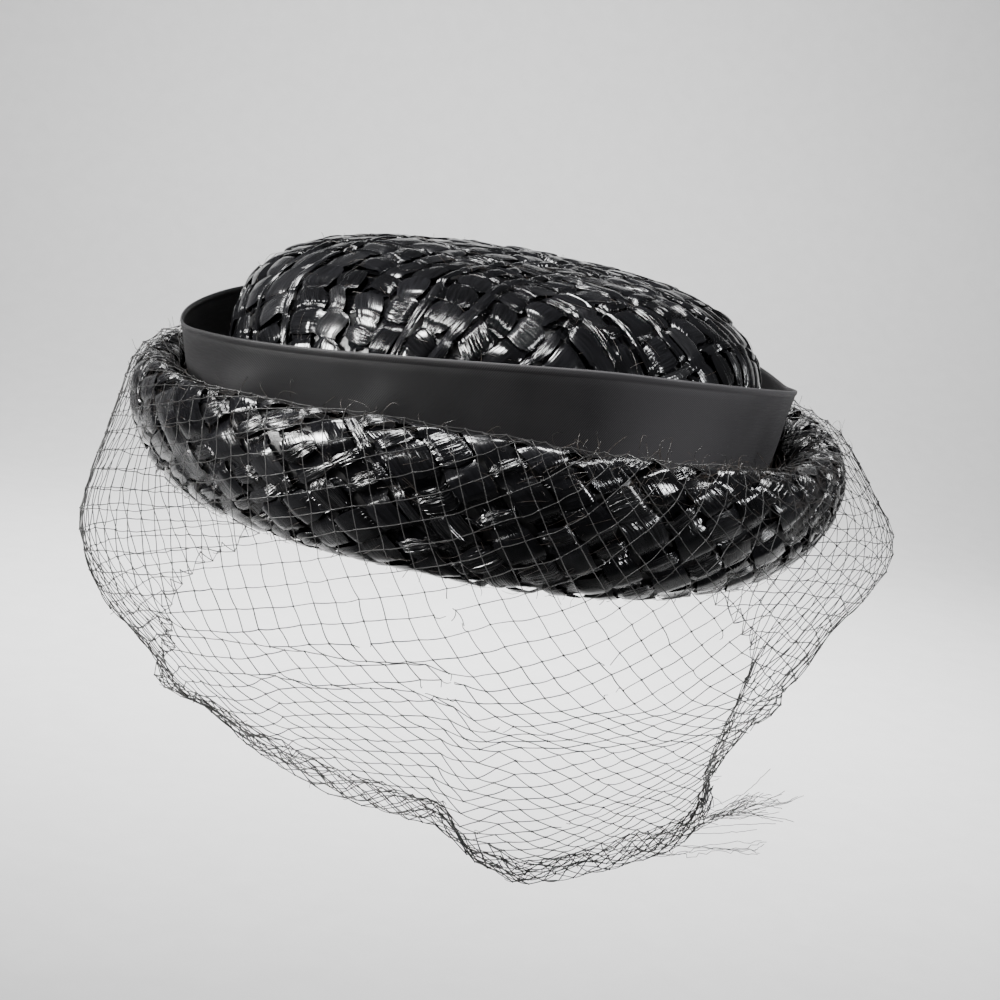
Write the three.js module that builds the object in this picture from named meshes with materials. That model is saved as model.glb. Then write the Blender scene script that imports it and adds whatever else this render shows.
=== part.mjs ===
// Small black straw hat: domed crown, rolled brim, standing ribbon band and a net veil.
// Millimetres, +Z up along the hat's own axis, front towards -Y, origin in the middle of the head opening.
import * as THREE from 'three';

// ---------------------------------------------------------------- sizes
const SEGMENTS = 64;          // facets round the hat
const STRAW_WALL = 2.4;       // woven straw, two layers of strip
const RIBBON_WALL = 1.3;      // band, folded ribbon
const NET_WALL = 1.2;         // solid that stands for the net's thickness
const DEG = Math.PI / 180;

// Head opening, outside of the crown's foot.
const FOOT_SIDE = 82.5;       // half width
const FOOT_FRONT = 96.5;      // half length

// Crown: scale of the foot oval at each height, from the foot to the shoulder and over the dome.
const CROWN = [
  { z: 1.4, scale: 1.000 },
  { z: 22.0, scale: 0.996 },
  { z: 44.0, scale: 0.986 },
  { z: 53.2, scale: 0.968 },
  { z: 61.0, scale: 0.914 },
  { z: 67.2, scale: 0.818 },
  { z: 71.6, scale: 0.678 },
  { z: 74.4, scale: 0.480 },
  { z: 75.8, scale: 0.240 },
];
const CROWN_TOP = 76.2;
const CROWN_LEAN = 0.020;     // the dome is this much higher towards the wearer's right (-X), per mm
const CROWN_BUMP = { x: -26, y: -10, rise: 2.2, reach: 34 };  // soft high spot on the dome
const CROWN_DIP = { x: 2, y: -30, rise: -1.4, reach: 22 };    // soft hollow beside it

// Brim: outer face from the head opening, out under, up the side and over the roll to its tucked-in lip.
// Half widths to left and right, half length, and how far up from the brim's lowest to its highest line.
const BRIM = [
  { left: 83.4, right: 83.4, front: 97.6, up: 0.09 },
  { left: 86.9, right: 87.0, front: 102.4, up: 0.02 },
  { left: 92.4, right: 92.8, front: 109.4, up: 0.00 },
  { left: 99.1, right: 99.7, front: 116.2, up: 0.08 },
  { left: 104.7, right: 105.6, front: 121.9, up: 0.27 },
  { left: 108.4, right: 109.5, front: 125.4, up: 0.50 },
  { left: 109.7, right: 110.8, front: 126.6, up: 0.74 },
  { left: 108.4, right: 109.4, front: 125.2, up: 0.90 },
  { left: 104.8, right: 105.2, front: 121.2, up: 1.00 },
  { left: 100.9, right: 100.4, front: 116.6, up: 0.98 },
  { left: 98.2, right: 96.6, front: 113.0, up: 0.89 },
  { left: 96.9, right: 94.3, front: 110.8, up: 0.76 },
];
// Height of the roll's crest and of the brim's underside round the hat; degrees from the front, plus towards +X.
const ROLL_CREST = [
  { at: -180, z: 38.0 }, { at: -110, z: 37.0 }, { at: -85, z: 35.2 }, { at: -58, z: 35.2 }, { at: -36, z: 37.4 },
  { at: -20, z: 39.4 }, { at: -4, z: 38.9 }, { at: 12, z: 36.9 }, { at: 30, z: 34.4 }, { at: 52, z: 31.0 },
  { at: 70, z: 31.4 }, { at: 92, z: 34.4 }, { at: 118, z: 37.0 }, { at: 180, z: 38.0 },
];
const BRIM_UNDER = [
  { at: -180, z: -1.8 }, { at: -90, z: -0.8 }, { at: -45, z: 0.0 }, { at: -20, z: -0.2 }, { at: 0, z: -1.6 },
  { at: 20, z: -3.0 }, { at: 45, z: -2.9 }, { at: 90, z: -0.6 }, { at: 180, z: -1.8 },
];

// Band: outer face from its foot to its top edge. BAND_TOP is the height of the top edge round the hat.
const BAND_FOOT = 9.0;
const BAND = [
  { left: 87.0, right: 84.9, front: 99.4, up: 0.00 },
  { left: 91.6, right: 88.0, front: 103.2, up: 0.35 },
  { left: 95.1, right: 90.8, front: 107.2, up: 0.68 },
  { left: 97.8, right: 93.4, front: 110.9, up: 1.00 },
];
const BAND_TOP = [
  { at: -180, z: 56.6 }, { at: -150, z: 54.6 }, { at: -122, z: 51.2 }, { at: -100, z: 48.2 }, { at: -84, z: 46.8 },
  { at: -60, z: 49.4 }, { at: -39, z: 52.6 }, { at: -19, z: 55.8 }, { at: -2, z: 57.7 }, { at: 12, z: 58.2 },
  { at: 28, z: 56.8 }, { at: 52, z: 53.2 }, { at: 76, z: 48.6 }, { at: 92, z: 46.4 }, { at: 108, z: 48.4 },
  { at: 135, z: 52.6 }, { at: 180, z: 56.6 },
];
// Folds of the ribbon: where round the hat, how wide, how far out (+) or in (-) at the top edge.
const BAND_FOLDS = [
  { at: 82, width: 6, out: 0.9 },
  { at: -66, width: 13, out: -1.0 },
  { at: -48, width: 9, out: 0.7 },
  { at: 36, width: 16, out: -0.6 },
  { at: 150, width: 12, out: 0.9 },
  { at: -140, width: 14, out: -0.8 },
];

// Veil: half widths to left, right, front and back, and the heights there, from the valley to the hem.
// Rows on the roll (on: 1) give heights from the roll's crest, the others from the head opening.
const VEIL = [
  { name: 'valley', left: 95.9, right: 92.0, front: 109.2, back: 109.2, zl: -5.6, zr: -5.0, zf: -6.0, zb: -6.0, on: 1, hem: 0 },
  { name: 'roll_in', left: 98.2, right: 97.0, front: 113.0, back: 113.0, zl: 0.0, zr: 0.0, zf: -0.4, zb: -0.4, on: 1, hem: 0 },
  { name: 'crest', left: 104.6, right: 105.2, front: 121.2, back: 121.2, zl: 2.0, zr: 2.0, zf: 2.0, zb: 2.0, on: 1, hem: 0 },
  { name: 'roll_out', left: 110.6, right: 112.2, front: 127.4, back: 127.4, zl: -1.6, zr: -0.6, zf: -1.6, zb: -1.0, on: 1, hem: 0 },
  { name: 'fall', left: 114.2, right: 123.0, front: 130.4, back: 129.8, zl: 20.0, zr: 17.0, zf: 24.0, zb: 25.0, on: 0, hem: 0 },
  { name: 'swell', left: 118.8, right: 130.4, front: 132.4, back: 130.4, zl: 4.0, zr: 4.0, zf: 6.0, zb: 13.0, on: 0, hem: 0.10 },
  { name: 'belly', left: 122.4, right: 123.5, front: 132.0, back: 129.0, zl: -15.0, zr: -9.0, zf: -14.0, zb: 2.0, on: 0, hem: 0.30 },
  { name: 'turn', left: 119.6, right: 112.0, front: 128.0, back: 126.0, zl: -30.0, zr: -24.0, zf: -33.0, zb: -7.0, on: 0, hem: 0.55 },
  { name: 'draw', left: 106.5, right: 98.0, front: 119.5, back: 122.0, zl: -46.0, zr: -40.0, zf: -52.0, zb: -15.0, on: 0, hem: 0.85 },
  { name: 'hem', left: 93.0, right: 93.0, front: 109.5, back: 118.0, zl: -57.0, zr: -52.0, zf: -70.0, zb: -21.0, on: 0, hem: 1 },
];
// Height of the hem round the hat; degrees from the front, plus towards +X.
const HEM = [
  { at: -180, z: -21 }, { at: -150, z: -27 }, { at: -120, z: -42 }, { at: -90, z: -55 }, { at: -70, z: -54 },
  { at: -52, z: -56.5 }, { at: -37, z: -62.5 }, { at: -18, z: -65.5 }, { at: -7, z: -67 }, { at: 3, z: -80 },
  { at: 9, z: -84 }, { at: 24, z: -81 }, { at: 32, z: -78 }, { at: 46, z: -74.5 }, { at: 60, z: -70 },
  { at: 70, z: -60 }, { at: 80, z: -47 }, { at: 92, z: -40 }, { at: 120, z: -33 }, { at: 150, z: -27 }, { at: 180, z: -21 },
];
// Long soft folds of the hanging net: where round the hat, how wide, how far out (+) or in (-).
const VEIL_FOLDS = [
  { at: -104, width: 10, out: 3.0 }, { at: -82, width: 9, out: -2.2 }, { at: -63, width: 10, out: 2.0 },
  { at: -30, width: 15, out: -2.0 }, { at: 4, width: 12, out: 2.4 }, { at: 28, width: 11, out: -1.8 },
  { at: 42, width: 8, out: 1.6 }, { at: 64, width: 16, out: -8.0 }, { at: 98, width: 9, out: 2.2 },
  { at: 130, width: 14, out: -2.4 }, { at: 165, width: 14, out: 2.4 }, { at: -135, width: 14, out: -2.4 },
];

// ---------------------------------------------------------------- helpers
// Smooth value of a table of {at, z} rows at an angle in degrees.
function along(table, at) {
  let i = 0;
  while (i < table.length - 2 && at > table[i + 1].at) i += 1;
  const t = Math.min(1, Math.max(0, (at - table[i].at) / (table[i + 1].at - table[i].at)));
  const s = t * t * (3 - 2 * t);
  return table[i].z + (table[i + 1].z - table[i].z) * s;
}

// How far a set of folds moves a wall at an angle in degrees.
function folds(table, at) {
  return table.reduce((sum, fold) => {
    const away = ((at - fold.at + 540) % 360) - 180;
    return sum + fold.out * Math.exp(-((away / fold.width) ** 2));
  }, 0);
}

// One ring of points; point(angle, sine, cosine) gives each, the angle running from the front towards +X.
function ring(point) {
  const points = [];
  for (let i = 0; i < SEGMENTS; i += 1) {
    const at = -180 + (360 * i) / SEGMENTS;
    points.push(point(at, Math.sin(at * DEG), Math.cos(at * DEG)));
  }
  return points;
}

// Point of a four-way oval: left, right, front and, where it differs, back; out moves it off the oval.
function oval(row, s, c, out, z) {
  const across = (s > 0 ? row.right : row.left) + out;
  const deep = (c > 0 ? row.front : row.back ?? row.front) + out;
  return new THREE.Vector3(across * s, -deep * c, z);
}

// Signed volume, to turn every face outward.
function volume(position, index) {
  let sum = 0;
  const [a, b, c] = [new THREE.Vector3(), new THREE.Vector3(), new THREE.Vector3()];
  for (let i = 0; i < index.length; i += 3) {
    a.fromArray(position, index[i] * 3);
    b.fromArray(position, index[i + 1] * 3);
    c.fromArray(position, index[i + 2] * 3);
    sum += a.dot(b.cross(c)) / 6;
  }
  return sum;
}

// Skin over a list of rings. With poles it starts and ends in a point, without them the last ring joins the first.
function skin(rings, poles = null) {
  const position = rings.flat().flatMap((p) => [p.x, p.y, p.z]);
  const index = [];
  const joins = poles ? rings.length - 1 : rings.length;
  for (let r = 0; r < joins; r += 1) {
    const next = (r + 1) % rings.length;
    for (let i = 0; i < SEGMENTS; i += 1) {
      const j = (i + 1) % SEGMENTS;
      const [a, b, c, d] = [r * SEGMENTS + i, r * SEGMENTS + j, next * SEGMENTS + j, next * SEGMENTS + i];
      index.push(a, b, c, a, c, d);
    }
  }
  if (poles) {
    const [first, last] = [position.length / 3, position.length / 3 + 1];
    poles.forEach((p) => position.push(p.x, p.y, p.z));
    const end = (rings.length - 1) * SEGMENTS;
    for (let i = 0; i < SEGMENTS; i += 1) {
      const j = (i + 1) % SEGMENTS;
      index.push(first, j, i, last, end + i, end + j);
    }
  }
  if (volume(position, index) < 0) {
    for (let i = 0; i < index.length; i += 3) [index[i + 1], index[i + 2]] = [index[i + 2], index[i + 1]];
  }
  const geometry = new THREE.BufferGeometry();
  geometry.setAttribute('position', new THREE.Float32BufferAttribute(position, 3));
  geometry.setIndex(index);
  geometry.computeVertexNormals();
  return geometry;
}

// Rings moved sideways off their own surface by a distance, for the other face of a wall.
function offset(rings, distance) {
  return rings.map((row, r) => {
    const [below, above] = [rings[Math.max(0, r - 1)], rings[Math.min(rings.length - 1, r + 1)]];
    return row.map((p, i) => {
      const round = row[(i + 1) % SEGMENTS].clone().sub(row[(i + SEGMENTS - 1) % SEGMENTS]);
      const along2 = above[i].clone().sub(below[i]);
      return p.clone().addScaledVector(round.cross(along2).normalize(), distance);
    });
  });
}

// Wall between two faces that run the same way, as a closed loop of rings.
const wall = (one, other) => skin([...one, ...[...other].reverse()]);

function part(name, geometry, color, roughness, metalness = 0) {
  const mesh = new THREE.Mesh(geometry, new THREE.MeshStandardMaterial({ color, roughness, metalness }));
  mesh.name = name;
  return mesh;
}

// ---------------------------------------------------------------- crown
// Height of the dome's soft unevenness over a point, growing from nothing at the shoulder.
function uneven(x, y, z) {
  const share = Math.min(1, Math.max(0, (z - 44) / 22));
  const spot = (b) => b.rise * Math.exp(-(((x - b.x) / b.reach) ** 2) - (((y - b.y) / b.reach) ** 2));
  return share * (spot(CROWN_BUMP) + spot(CROWN_DIP) - CROWN_LEAN * x);
}

function crown() {
  const face = (inset) => CROWN.map((row) => ring((at, s, c) => {
    // The inner face keeps the wall's thickness sideways at the foot and upright at the top.
    const steep = Math.sqrt(Math.max(0, row.scale * 2 - 1));
    const x = (FOOT_SIDE * row.scale - inset * (0.35 + 0.65 * steep)) * s;
    const y = -(FOOT_FRONT * row.scale - inset * (0.35 + 0.65 * steep)) * c;
    const drop = row.z < 40 ? 0 : inset * Math.min(1, (row.z - 40) / 30);
    return new THREE.Vector3(x, y, row.z + uneven(x, y, row.z) - drop);
  }));
  const [outer, inner] = [face(0), face(STRAW_WALL)];
  const top = (inset) => new THREE.Vector3(0, 0, CROWN_TOP - inset + uneven(0, 0, CROWN_TOP));
  return skin([...outer.reverse(), ...inner], [top(0), top(STRAW_WALL)]);
}

// ---------------------------------------------------------------- brim
function brim() {
  const outer = BRIM.map((row) => ring((at, s, c) => {
    const low = along(BRIM_UNDER, at);
    const z = row === BRIM[0] ? 1.0 : low + row.up * (along(ROLL_CREST, at) - low);
    return oval(row, s, c, 0, z);
  }));
  return wall(outer, offset(outer, -STRAW_WALL));
}

// ---------------------------------------------------------------- band
function band() {
  const face = (inset) => BAND.map((row) => ring((at, s, c) => {
    const out = folds(BAND_FOLDS, at) * row.up ** 1.5 - inset;
    return oval(row, s, c, out, BAND_FOOT + row.up * (along(BAND_TOP, at) - BAND_FOOT));
  }));
  return wall(face(0), face(RIBBON_WALL));
}

// ---------------------------------------------------------------- veil
function veil() {
  const level = (row, s, c) => (c > 0 ? row.zf : row.zb) * c * c + (s > 0 ? row.zr : row.zl) * s * s;
  const last = VEIL[VEIL.length - 1];
  const middle = VEIL.map((row) => ring((at, s, c) => {
    const loose = Math.min(1, row.hem * 2.2);   // folds fade out where the net lies on the brim
    const z = level(row, s, c) + row.on * along(ROLL_CREST, at) + row.hem * (along(HEM, at) - level(last, s, c));
    return oval(row, s, c, folds(VEIL_FOLDS, at) * loose, z);
  }));
  return wall(offset(middle, -NET_WALL / 2), offset(middle, NET_WALL / 2));
}

// ---------------------------------------------------------------- assembly
const hat = new THREE.Group();
hat.name = 'straw_hat_with_veil';
hat.add(part('crown', crown(), 0x17171a, 0.32));
hat.add(part('brim', brim(), 0x141417, 0.3));
hat.add(part('band', band(), 0x232326, 0.62));
hat.add(part('veil', veil(), 0x1b1b1d, 0.7));

export default hat;
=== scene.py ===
import math
import bpy
import numpy as np
from mathutils import Matrix, Vector


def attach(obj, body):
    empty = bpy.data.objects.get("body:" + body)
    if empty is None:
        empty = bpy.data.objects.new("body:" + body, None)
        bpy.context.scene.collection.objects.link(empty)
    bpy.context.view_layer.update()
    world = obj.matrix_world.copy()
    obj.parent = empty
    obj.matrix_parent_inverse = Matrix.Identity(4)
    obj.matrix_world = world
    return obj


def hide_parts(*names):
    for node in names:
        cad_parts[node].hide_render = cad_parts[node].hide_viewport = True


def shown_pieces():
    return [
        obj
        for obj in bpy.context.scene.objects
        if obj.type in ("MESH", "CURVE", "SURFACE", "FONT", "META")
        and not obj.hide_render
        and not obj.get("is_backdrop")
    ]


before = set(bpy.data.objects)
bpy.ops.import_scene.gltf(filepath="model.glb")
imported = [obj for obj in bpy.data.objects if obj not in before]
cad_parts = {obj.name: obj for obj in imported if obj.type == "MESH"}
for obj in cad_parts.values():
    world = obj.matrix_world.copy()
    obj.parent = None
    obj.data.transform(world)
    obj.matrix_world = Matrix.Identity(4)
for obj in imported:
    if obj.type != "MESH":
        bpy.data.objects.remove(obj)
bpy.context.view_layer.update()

MM = 0.001
rng = np.random.default_rng(7)

# ------------------------------------------------------------------ the hat's tables, as in the CAD, in millimetres
FOOT = (82.5, 96.5)
CROWN = np.array([(1.4, 1.000), (22.0, 0.996), (44.0, 0.986), (53.2, 0.968), (61.0, 0.914), (67.2, 0.818),
                  (71.6, 0.678), (74.4, 0.480), (75.8, 0.240), (76.2, 0.0)])
BRIM = np.array([  # left, right, front, up
    (83.4, 83.4, 97.6, 0.09), (86.9, 87.0, 102.4, 0.02), (92.4, 92.8, 109.4, 0.00), (99.1, 99.7, 116.2, 0.08),
    (104.7, 105.6, 121.9, 0.27), (108.4, 109.5, 125.4, 0.50), (109.7, 110.8, 126.6, 0.74), (108.4, 109.4, 125.2, 0.90),
    (104.8, 105.2, 121.2, 1.00), (100.9, 100.4, 116.6, 0.98), (98.2, 96.6, 113.0, 0.89), (96.9, 94.3, 110.8, 0.76)])
ROLL_CREST = np.array([(-180, 38.0), (-110, 37.0), (-85, 35.2), (-58, 35.2), (-36, 37.4), (-20, 39.4), (-4, 38.9),
                       (12, 36.9), (30, 34.4), (52, 31.0), (70, 31.4), (92, 34.4), (118, 37.0), (180, 38.0)])
BRIM_UNDER = np.array([(-180, -1.8), (-90, -0.8), (-45, 0.0), (-20, -0.2), (0, -1.6), (20, -3.0), (45, -2.9),
                       (90, -0.6), (180, -1.8)])
BAND_FOOT = 9.0
BAND = np.array([(87.0, 84.9, 99.4, 0.00), (91.6, 88.0, 103.2, 0.35), (95.1, 90.8, 107.2, 0.68), (97.8, 93.4, 110.9, 1.00)])
BAND_TOP = np.array([(-180, 56.6), (-150, 54.6), (-122, 51.2), (-100, 48.2), (-84, 46.8), (-60, 49.4), (-39, 52.6),
                     (-19, 55.8), (-2, 57.7), (12, 58.2), (28, 56.8), (52, 53.2), (76, 48.6), (92, 46.4), (108, 48.4),
                     (135, 52.6), (180, 56.6)])
BAND_FOLDS = [(82, 6, 0.9), (-66, 13, -1.0), (-48, 9, 0.7), (36, 16, -0.6), (150, 12, 0.9), (-140, 14, -0.8)]
VEIL = np.array([  # left, right, front, back, zl, zr, zf, zb, on the roll, share of the hem
    (95.9, 92.0, 109.2, 109.2, -5.6, -5.0, -6.0, -6.0, 1, 0), (98.2, 97.0, 113.0, 113.0, 0.0, 0.0, -0.4, -0.4, 1, 0),
    (104.6, 105.2, 121.2, 121.2, 2.0, 2.0, 2.0, 2.0, 1, 0), (110.6, 112.2, 127.4, 127.4, -1.6, -0.6, -1.6, -1.0, 1, 0),
    (114.2, 123.0, 130.4, 129.8, 20.0, 17.0, 24.0, 25.0, 0, 0), (118.8, 130.4, 132.4, 130.4, 4.0, 4.0, 6.0, 13.0, 0, 0.10),
    (122.4, 123.5, 132.0, 129.0, -15.0, -9.0, -14.0, 2.0, 0, 0.30), (119.6, 112.0, 128.0, 126.0, -30.0, -24.0, -33.0, -7.0, 0, 0.55),
    (106.5, 98.0, 119.5, 122.0, -46.0, -40.0, -52.0, -15.0, 0, 0.85), (93.0, 93.0, 109.5, 118.0, -57.0, -52.0, -70.0, -21.0, 0, 1)])
HEM = np.array([(-180, -21), (-150, -27), (-120, -42), (-90, -55), (-70, -54), (-52, -56.5), (-37, -62.5), (-18, -65.5),
                (-7, -67), (3, -80), (9, -84), (24, -81), (32, -78), (46, -74.5), (60, -70), (70, -60), (80, -47),
                (92, -40), (120, -33), (150, -27), (180, -21)])
VEIL_FOLDS = [(-104, 10, 3.0), (-82, 9, -2.2), (-63, 10, 2.0), (-30, 15, -2.0), (4, 12, 2.4), (28, 11, -1.8),
              (42, 8, 1.6), (64, 16, -8.0), (98, 9, 2.2), (130, 14, -2.4), (165, 14, 2.4), (-135, 14, -2.4)]


def along(table, at):
    """Smooth value of a table of (angle, value) rows at angles in degrees."""
    i = np.clip(np.searchsorted(table[:, 0], at, side="right") - 1, 0, len(table) - 2)
    t = np.clip((at - table[i, 0]) / (table[i + 1, 0] - table[i, 0]), 0, 1)
    t = t * t * (3 - 2 * t)
    return table[i, 1] + (table[i + 1, 1] - table[i, 1]) * t


def flow(table, at):
    """The same table without level places at its rows, for an edge that runs on evenly."""
    x = np.concatenate([table[:-1, 0] - 360, table[:-1, 0], table[:, 0] + 360])
    y = np.concatenate([table[:-1, 1], table[:-1, 1], table[:, 1]])
    slope = np.gradient(y, x)
    i = np.clip(np.searchsorted(x, at, side="right") - 1, 0, len(x) - 2)
    w = x[i + 1] - x[i]
    t = (at - x[i]) / w
    return (y[i] * (1 + 2 * t) * (1 - t) ** 2 + w * slope[i] * t * (1 - t) ** 2
            + y[i + 1] * t * t * (3 - 2 * t) + w * slope[i + 1] * t * t * (t - 1))


def folds(table, at):
    out = np.zeros_like(at, dtype=float)
    for where, width, far in table:
        out += far * np.exp(-(((at - where + 180) % 360 - 180) / width) ** 2)
    return out


def through(rows, n):
    """Rows joined by a smooth curve, n points; rows is (r, ...)."""
    rows = np.asarray(rows, float)
    r = len(rows)
    t = np.linspace(0, r - 1, n)
    i = np.clip(t.astype(int), 0, r - 2)
    f = (t - i).reshape((-1,) + (1,) * (rows.ndim - 1))
    p0 = np.where((i > 0).reshape(f.shape), rows[np.maximum(i - 1, 0)], 2 * rows[i] - rows[i + 1])
    p3 = np.where((i < r - 2).reshape(f.shape), rows[np.minimum(i + 2, r - 1)], 2 * rows[i + 1] - rows[i])
    p1, p2 = rows[i], rows[i + 1]
    return 0.5 * (2 * p1 + (p2 - p0) * f + (2 * p0 - 5 * p1 + 4 * p2 - p3) * f ** 2 + (3 * p1 - p0 - 3 * p2 + p3) * f ** 3)


class Skin:
    """A surface as a fine grid over angle round the hat and distance along its section, in millimetres."""

    def __init__(self, rows, flip=False):
        # rows: (r, n, 3) points; evenly respaced along the section
        grid = through(rows, 481)
        step = np.linalg.norm(np.diff(grid, axis=0), axis=2)
        far = np.concatenate([np.zeros((1, grid.shape[1])), np.cumsum(step, axis=0)])
        self.length = far[-1].copy()
        self.rows = 241
        even = np.linspace(0, 1, self.rows)
        out = np.empty((self.rows, grid.shape[1], 3))
        for k in range(grid.shape[1]):
            for c in range(3):
                out[:, k, c] = np.interp(even * far[-1, k], far[:, k], grid[:, k, c])
        self.p = out
        self.n = grid.shape[1]
        du = np.roll(out, -1, 1) - np.roll(out, 1, 1)
        dv = np.gradient(out, axis=0)
        nrm = np.cross(du, dv)
        nrm /= np.maximum(np.linalg.norm(nrm, axis=2, keepdims=True), 1e-9)
        self.nrm = -nrm if flip else nrm

    def pick(self, grid, at, v):
        """Bilinear value of a grid at angles in degrees and shares of the section."""
        u = (at + 180.0) / 360.0 * self.n
        i = np.floor(u).astype(int)
        fu = (u - i)[..., None]
        w = np.clip(v, 0, 1) * (self.rows - 1)
        j = np.minimum(w.astype(int), self.rows - 2)
        fw = (w - j)[..., None]
        i0, i1 = i % self.n, (i + 1) % self.n
        return ((grid[j, i0] * (1 - fu) + grid[j, i1] * fu) * (1 - fw)
                + (grid[j + 1, i0] * (1 - fu) + grid[j + 1, i1] * fu) * fw)

    def at(self, at, v, lift=0.0):
        p = self.pick(self.p, at, v)
        n = self.pick(self.nrm, at, v)
        n /= np.maximum(np.linalg.norm(n, axis=-1, keepdims=True), 1e-9)
        return p + n * np.asarray(lift)[..., None]

    def long(self, at):
        u = (at + 180.0) / 360.0 * self.n
        i = np.floor(u).astype(int)
        f = u - i
        return self.length[i % self.n] * (1 - f) + self.length[(i + 1) % self.n] * f


ANG = np.linspace(-180, 180, 720, endpoint=False)
SIN, COS = np.sin(np.radians(ANG)), np.cos(np.radians(ANG))


def oval(left, right, front, back, out, z):
    x = (np.where(SIN > 0, right, left) + out) * SIN
    y = -(np.where(COS > 0, front, back) + out) * COS
    return np.stack([x, y, np.broadcast_to(z, x.shape)], -1)


def uneven(x, y, z):
    share = np.clip((z - 44) / 22, 0, 1)
    bump = 2.2 * np.exp(-((x + 26) / 34) ** 2 - ((y + 10) / 34) ** 2)
    dip = -1.4 * np.exp(-((x - 2) / 22) ** 2 - ((y + 30) / 22) ** 2)
    return share * (bump + dip - 0.02 * x)


def crown_skin():
    """From the top of the dome down to the foot."""
    rows = through(CROWN[::-1], 60)
    out = []
    for z, k in rows:
        k = max(k, 0.0)
        x, y = FOOT[0] * k * SIN, -FOOT[1] * k * COS
        out.append(np.stack([x, y, z + uneven(x, y, z)], -1))
    return Skin(np.array(out), flip=True)


def brim_skin():
    out = []
    low, high = along(BRIM_UNDER, ANG), along(ROLL_CREST, ANG)
    for k, (left, right, front, up) in enumerate(BRIM):
        z = np.full_like(ANG, 1.0) if k == 0 else low + up * (high - low)
        out.append(oval(left, right, front, front, 0, z))
    return Skin(np.array(out))


def veil_skin():
    hem_z = along(HEM, ANG)
    crest = along(ROLL_CREST, ANG)

    def level(row):
        return np.where(COS > 0, row[6], row[7]) * COS ** 2 + np.where(SIN > 0, row[5], row[4]) * SIN ** 2
    out = []
    for row in VEIL:
        far = folds(VEIL_FOLDS, ANG) * min(1, row[9] * 2.2)
        z = level(row) + row[8] * crest + row[9] * (hem_z - level(VEIL[-1]))
        out.append(oval(row[0], row[1], row[2], row[3], far, z))
    return Skin(np.array(out))


# ------------------------------------------------------------------ mesh making
def make(name, verts, faces, mat, uv=None, values=None, smooth=True):
    """A mesh object from arrays: verts in millimetres, faces all quads or all triangles (or a list of such arrays)."""
    groups = faces if isinstance(faces, list) else [faces]
    groups = [np.asarray(f, np.int32) for f in groups if len(f)]
    verts = np.asarray(verts, float) * MM
    me = bpy.data.meshes.new(name)
    me.vertices.add(len(verts))
    me.vertices.foreach_set("co", verts.astype(np.float32).ravel())
    loops = np.concatenate([g.ravel() for g in groups])
    sizes = np.concatenate([np.full(len(g), g.shape[1], np.int32) for g in groups])
    me.loops.add(len(loops))
    me.loops.foreach_set("vertex_index", loops)
    me.polygons.add(len(sizes))
    me.polygons.foreach_set("loop_start", np.concatenate([[0], np.cumsum(sizes)[:-1]]).astype(np.int32))
    me.polygons.foreach_set("loop_total", sizes)
    me.polygons.foreach_set("use_smooth", np.full(len(sizes), smooth))
    if uv is not None:
        layer = me.uv_layers.new(name="UVMap")
        layer.data.foreach_set("uv", np.asarray(uv, np.float32)[loops].ravel())
    for key, data in (values or {}).items():
        me.attributes.new(key, "FLOAT", "POINT").data.foreach_set("value", np.asarray(data, np.float32))
    me.update()
    me.validate()
    obj = bpy.data.objects.new(name, me)
    bpy.context.scene.collection.objects.link(obj)
    me.materials.append(mat)
    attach(obj, "root")
    return obj


def grid_faces(rows, cols, wrap=False, start=0):
    """Quads of a rows by cols grid of points."""
    r = np.arange(rows - 1)[:, None]
    c = np.arange(cols if wrap else cols - 1)[None, :]
    n = (c + 1) % cols
    a, b, d, e = r * cols + c, r * cols + n, (r + 1) * cols + n, (r + 1) * cols + c
    return np.stack(np.broadcast_arrays(a, b, d, e), -1).reshape(-1, 4) + start


def soft_noise(shape, cells, generator):
    """Smooth noise from -1 to 1: a coarse random grid, smoothly enlarged over the last two axes."""
    lead = shape[:-2]
    ny, nx = shape[-2:]
    cy, cx = cells
    g = generator.uniform(-1, 1, lead + (cy + 1, cx + 1))
    ty, tx = np.linspace(0, cy, ny), np.linspace(0, cx, nx)
    iy, ix = np.minimum(ty.astype(int), cy - 1), np.minimum(tx.astype(int), cx - 1)
    fy, fx = (ty - iy)[:, None], (tx - ix)[None, :]
    fy, fx = fy * fy * (3 - 2 * fy), fx * fx * (3 - 2 * fx)
    g00, g01 = g[..., iy[:, None], ix[None, :]], g[..., iy[:, None], (ix + 1)[None, :]]
    g10, g11 = g[..., (iy + 1)[:, None], ix[None, :]], g[..., (iy + 1)[:, None], (ix + 1)[None, :]]
    return (g00 * (1 - fx) + g01 * fx) * (1 - fy) + (g10 * (1 - fx) + g11 * fx) * fy


# ------------------------------------------------------------------ materials
def new_material(name):
    mat = bpy.data.materials.new(name)
    mat.use_nodes = True
    nt = mat.node_tree
    bsdf = nt.nodes["Principled BSDF"]
    return mat, nt, bsdf


def link(nt, a, b):
    nt.links.new(a, b)


def node(nt, kind, **sets):
    n = nt.nodes.new(kind)
    for key, value in sets.items():
        if key in n.inputs:
            n.inputs[key].default_value = value
        else:
            setattr(n, key, value)
    return n


def ramp(nt, fac, stops):
    n = nt.nodes.new("ShaderNodeValToRGB")
    e = n.color_ramp.elements
    e[0].position, e[0].color = stops[0][0], (*stops[0][1], 1)
    e[1].position, e[1].color = stops[-1][0], (*stops[-1][1], 1)
    for pos, col in stops[1:-1]:
        x = e.new(pos)
        x.color = (*col, 1)
    link(nt, fac, n.inputs[0])
    return n


def math_node(nt, op, a, b=None):
    n = nt.nodes.new("ShaderNodeMath")
    n.operation = op
    for k, v in enumerate((a, b)):
        if v is None:
            continue
        if hasattr(v, "is_output"):
            link(nt, v, n.inputs[k])
        else:
            n.inputs[k].default_value = v
    return n.outputs[0]


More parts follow.
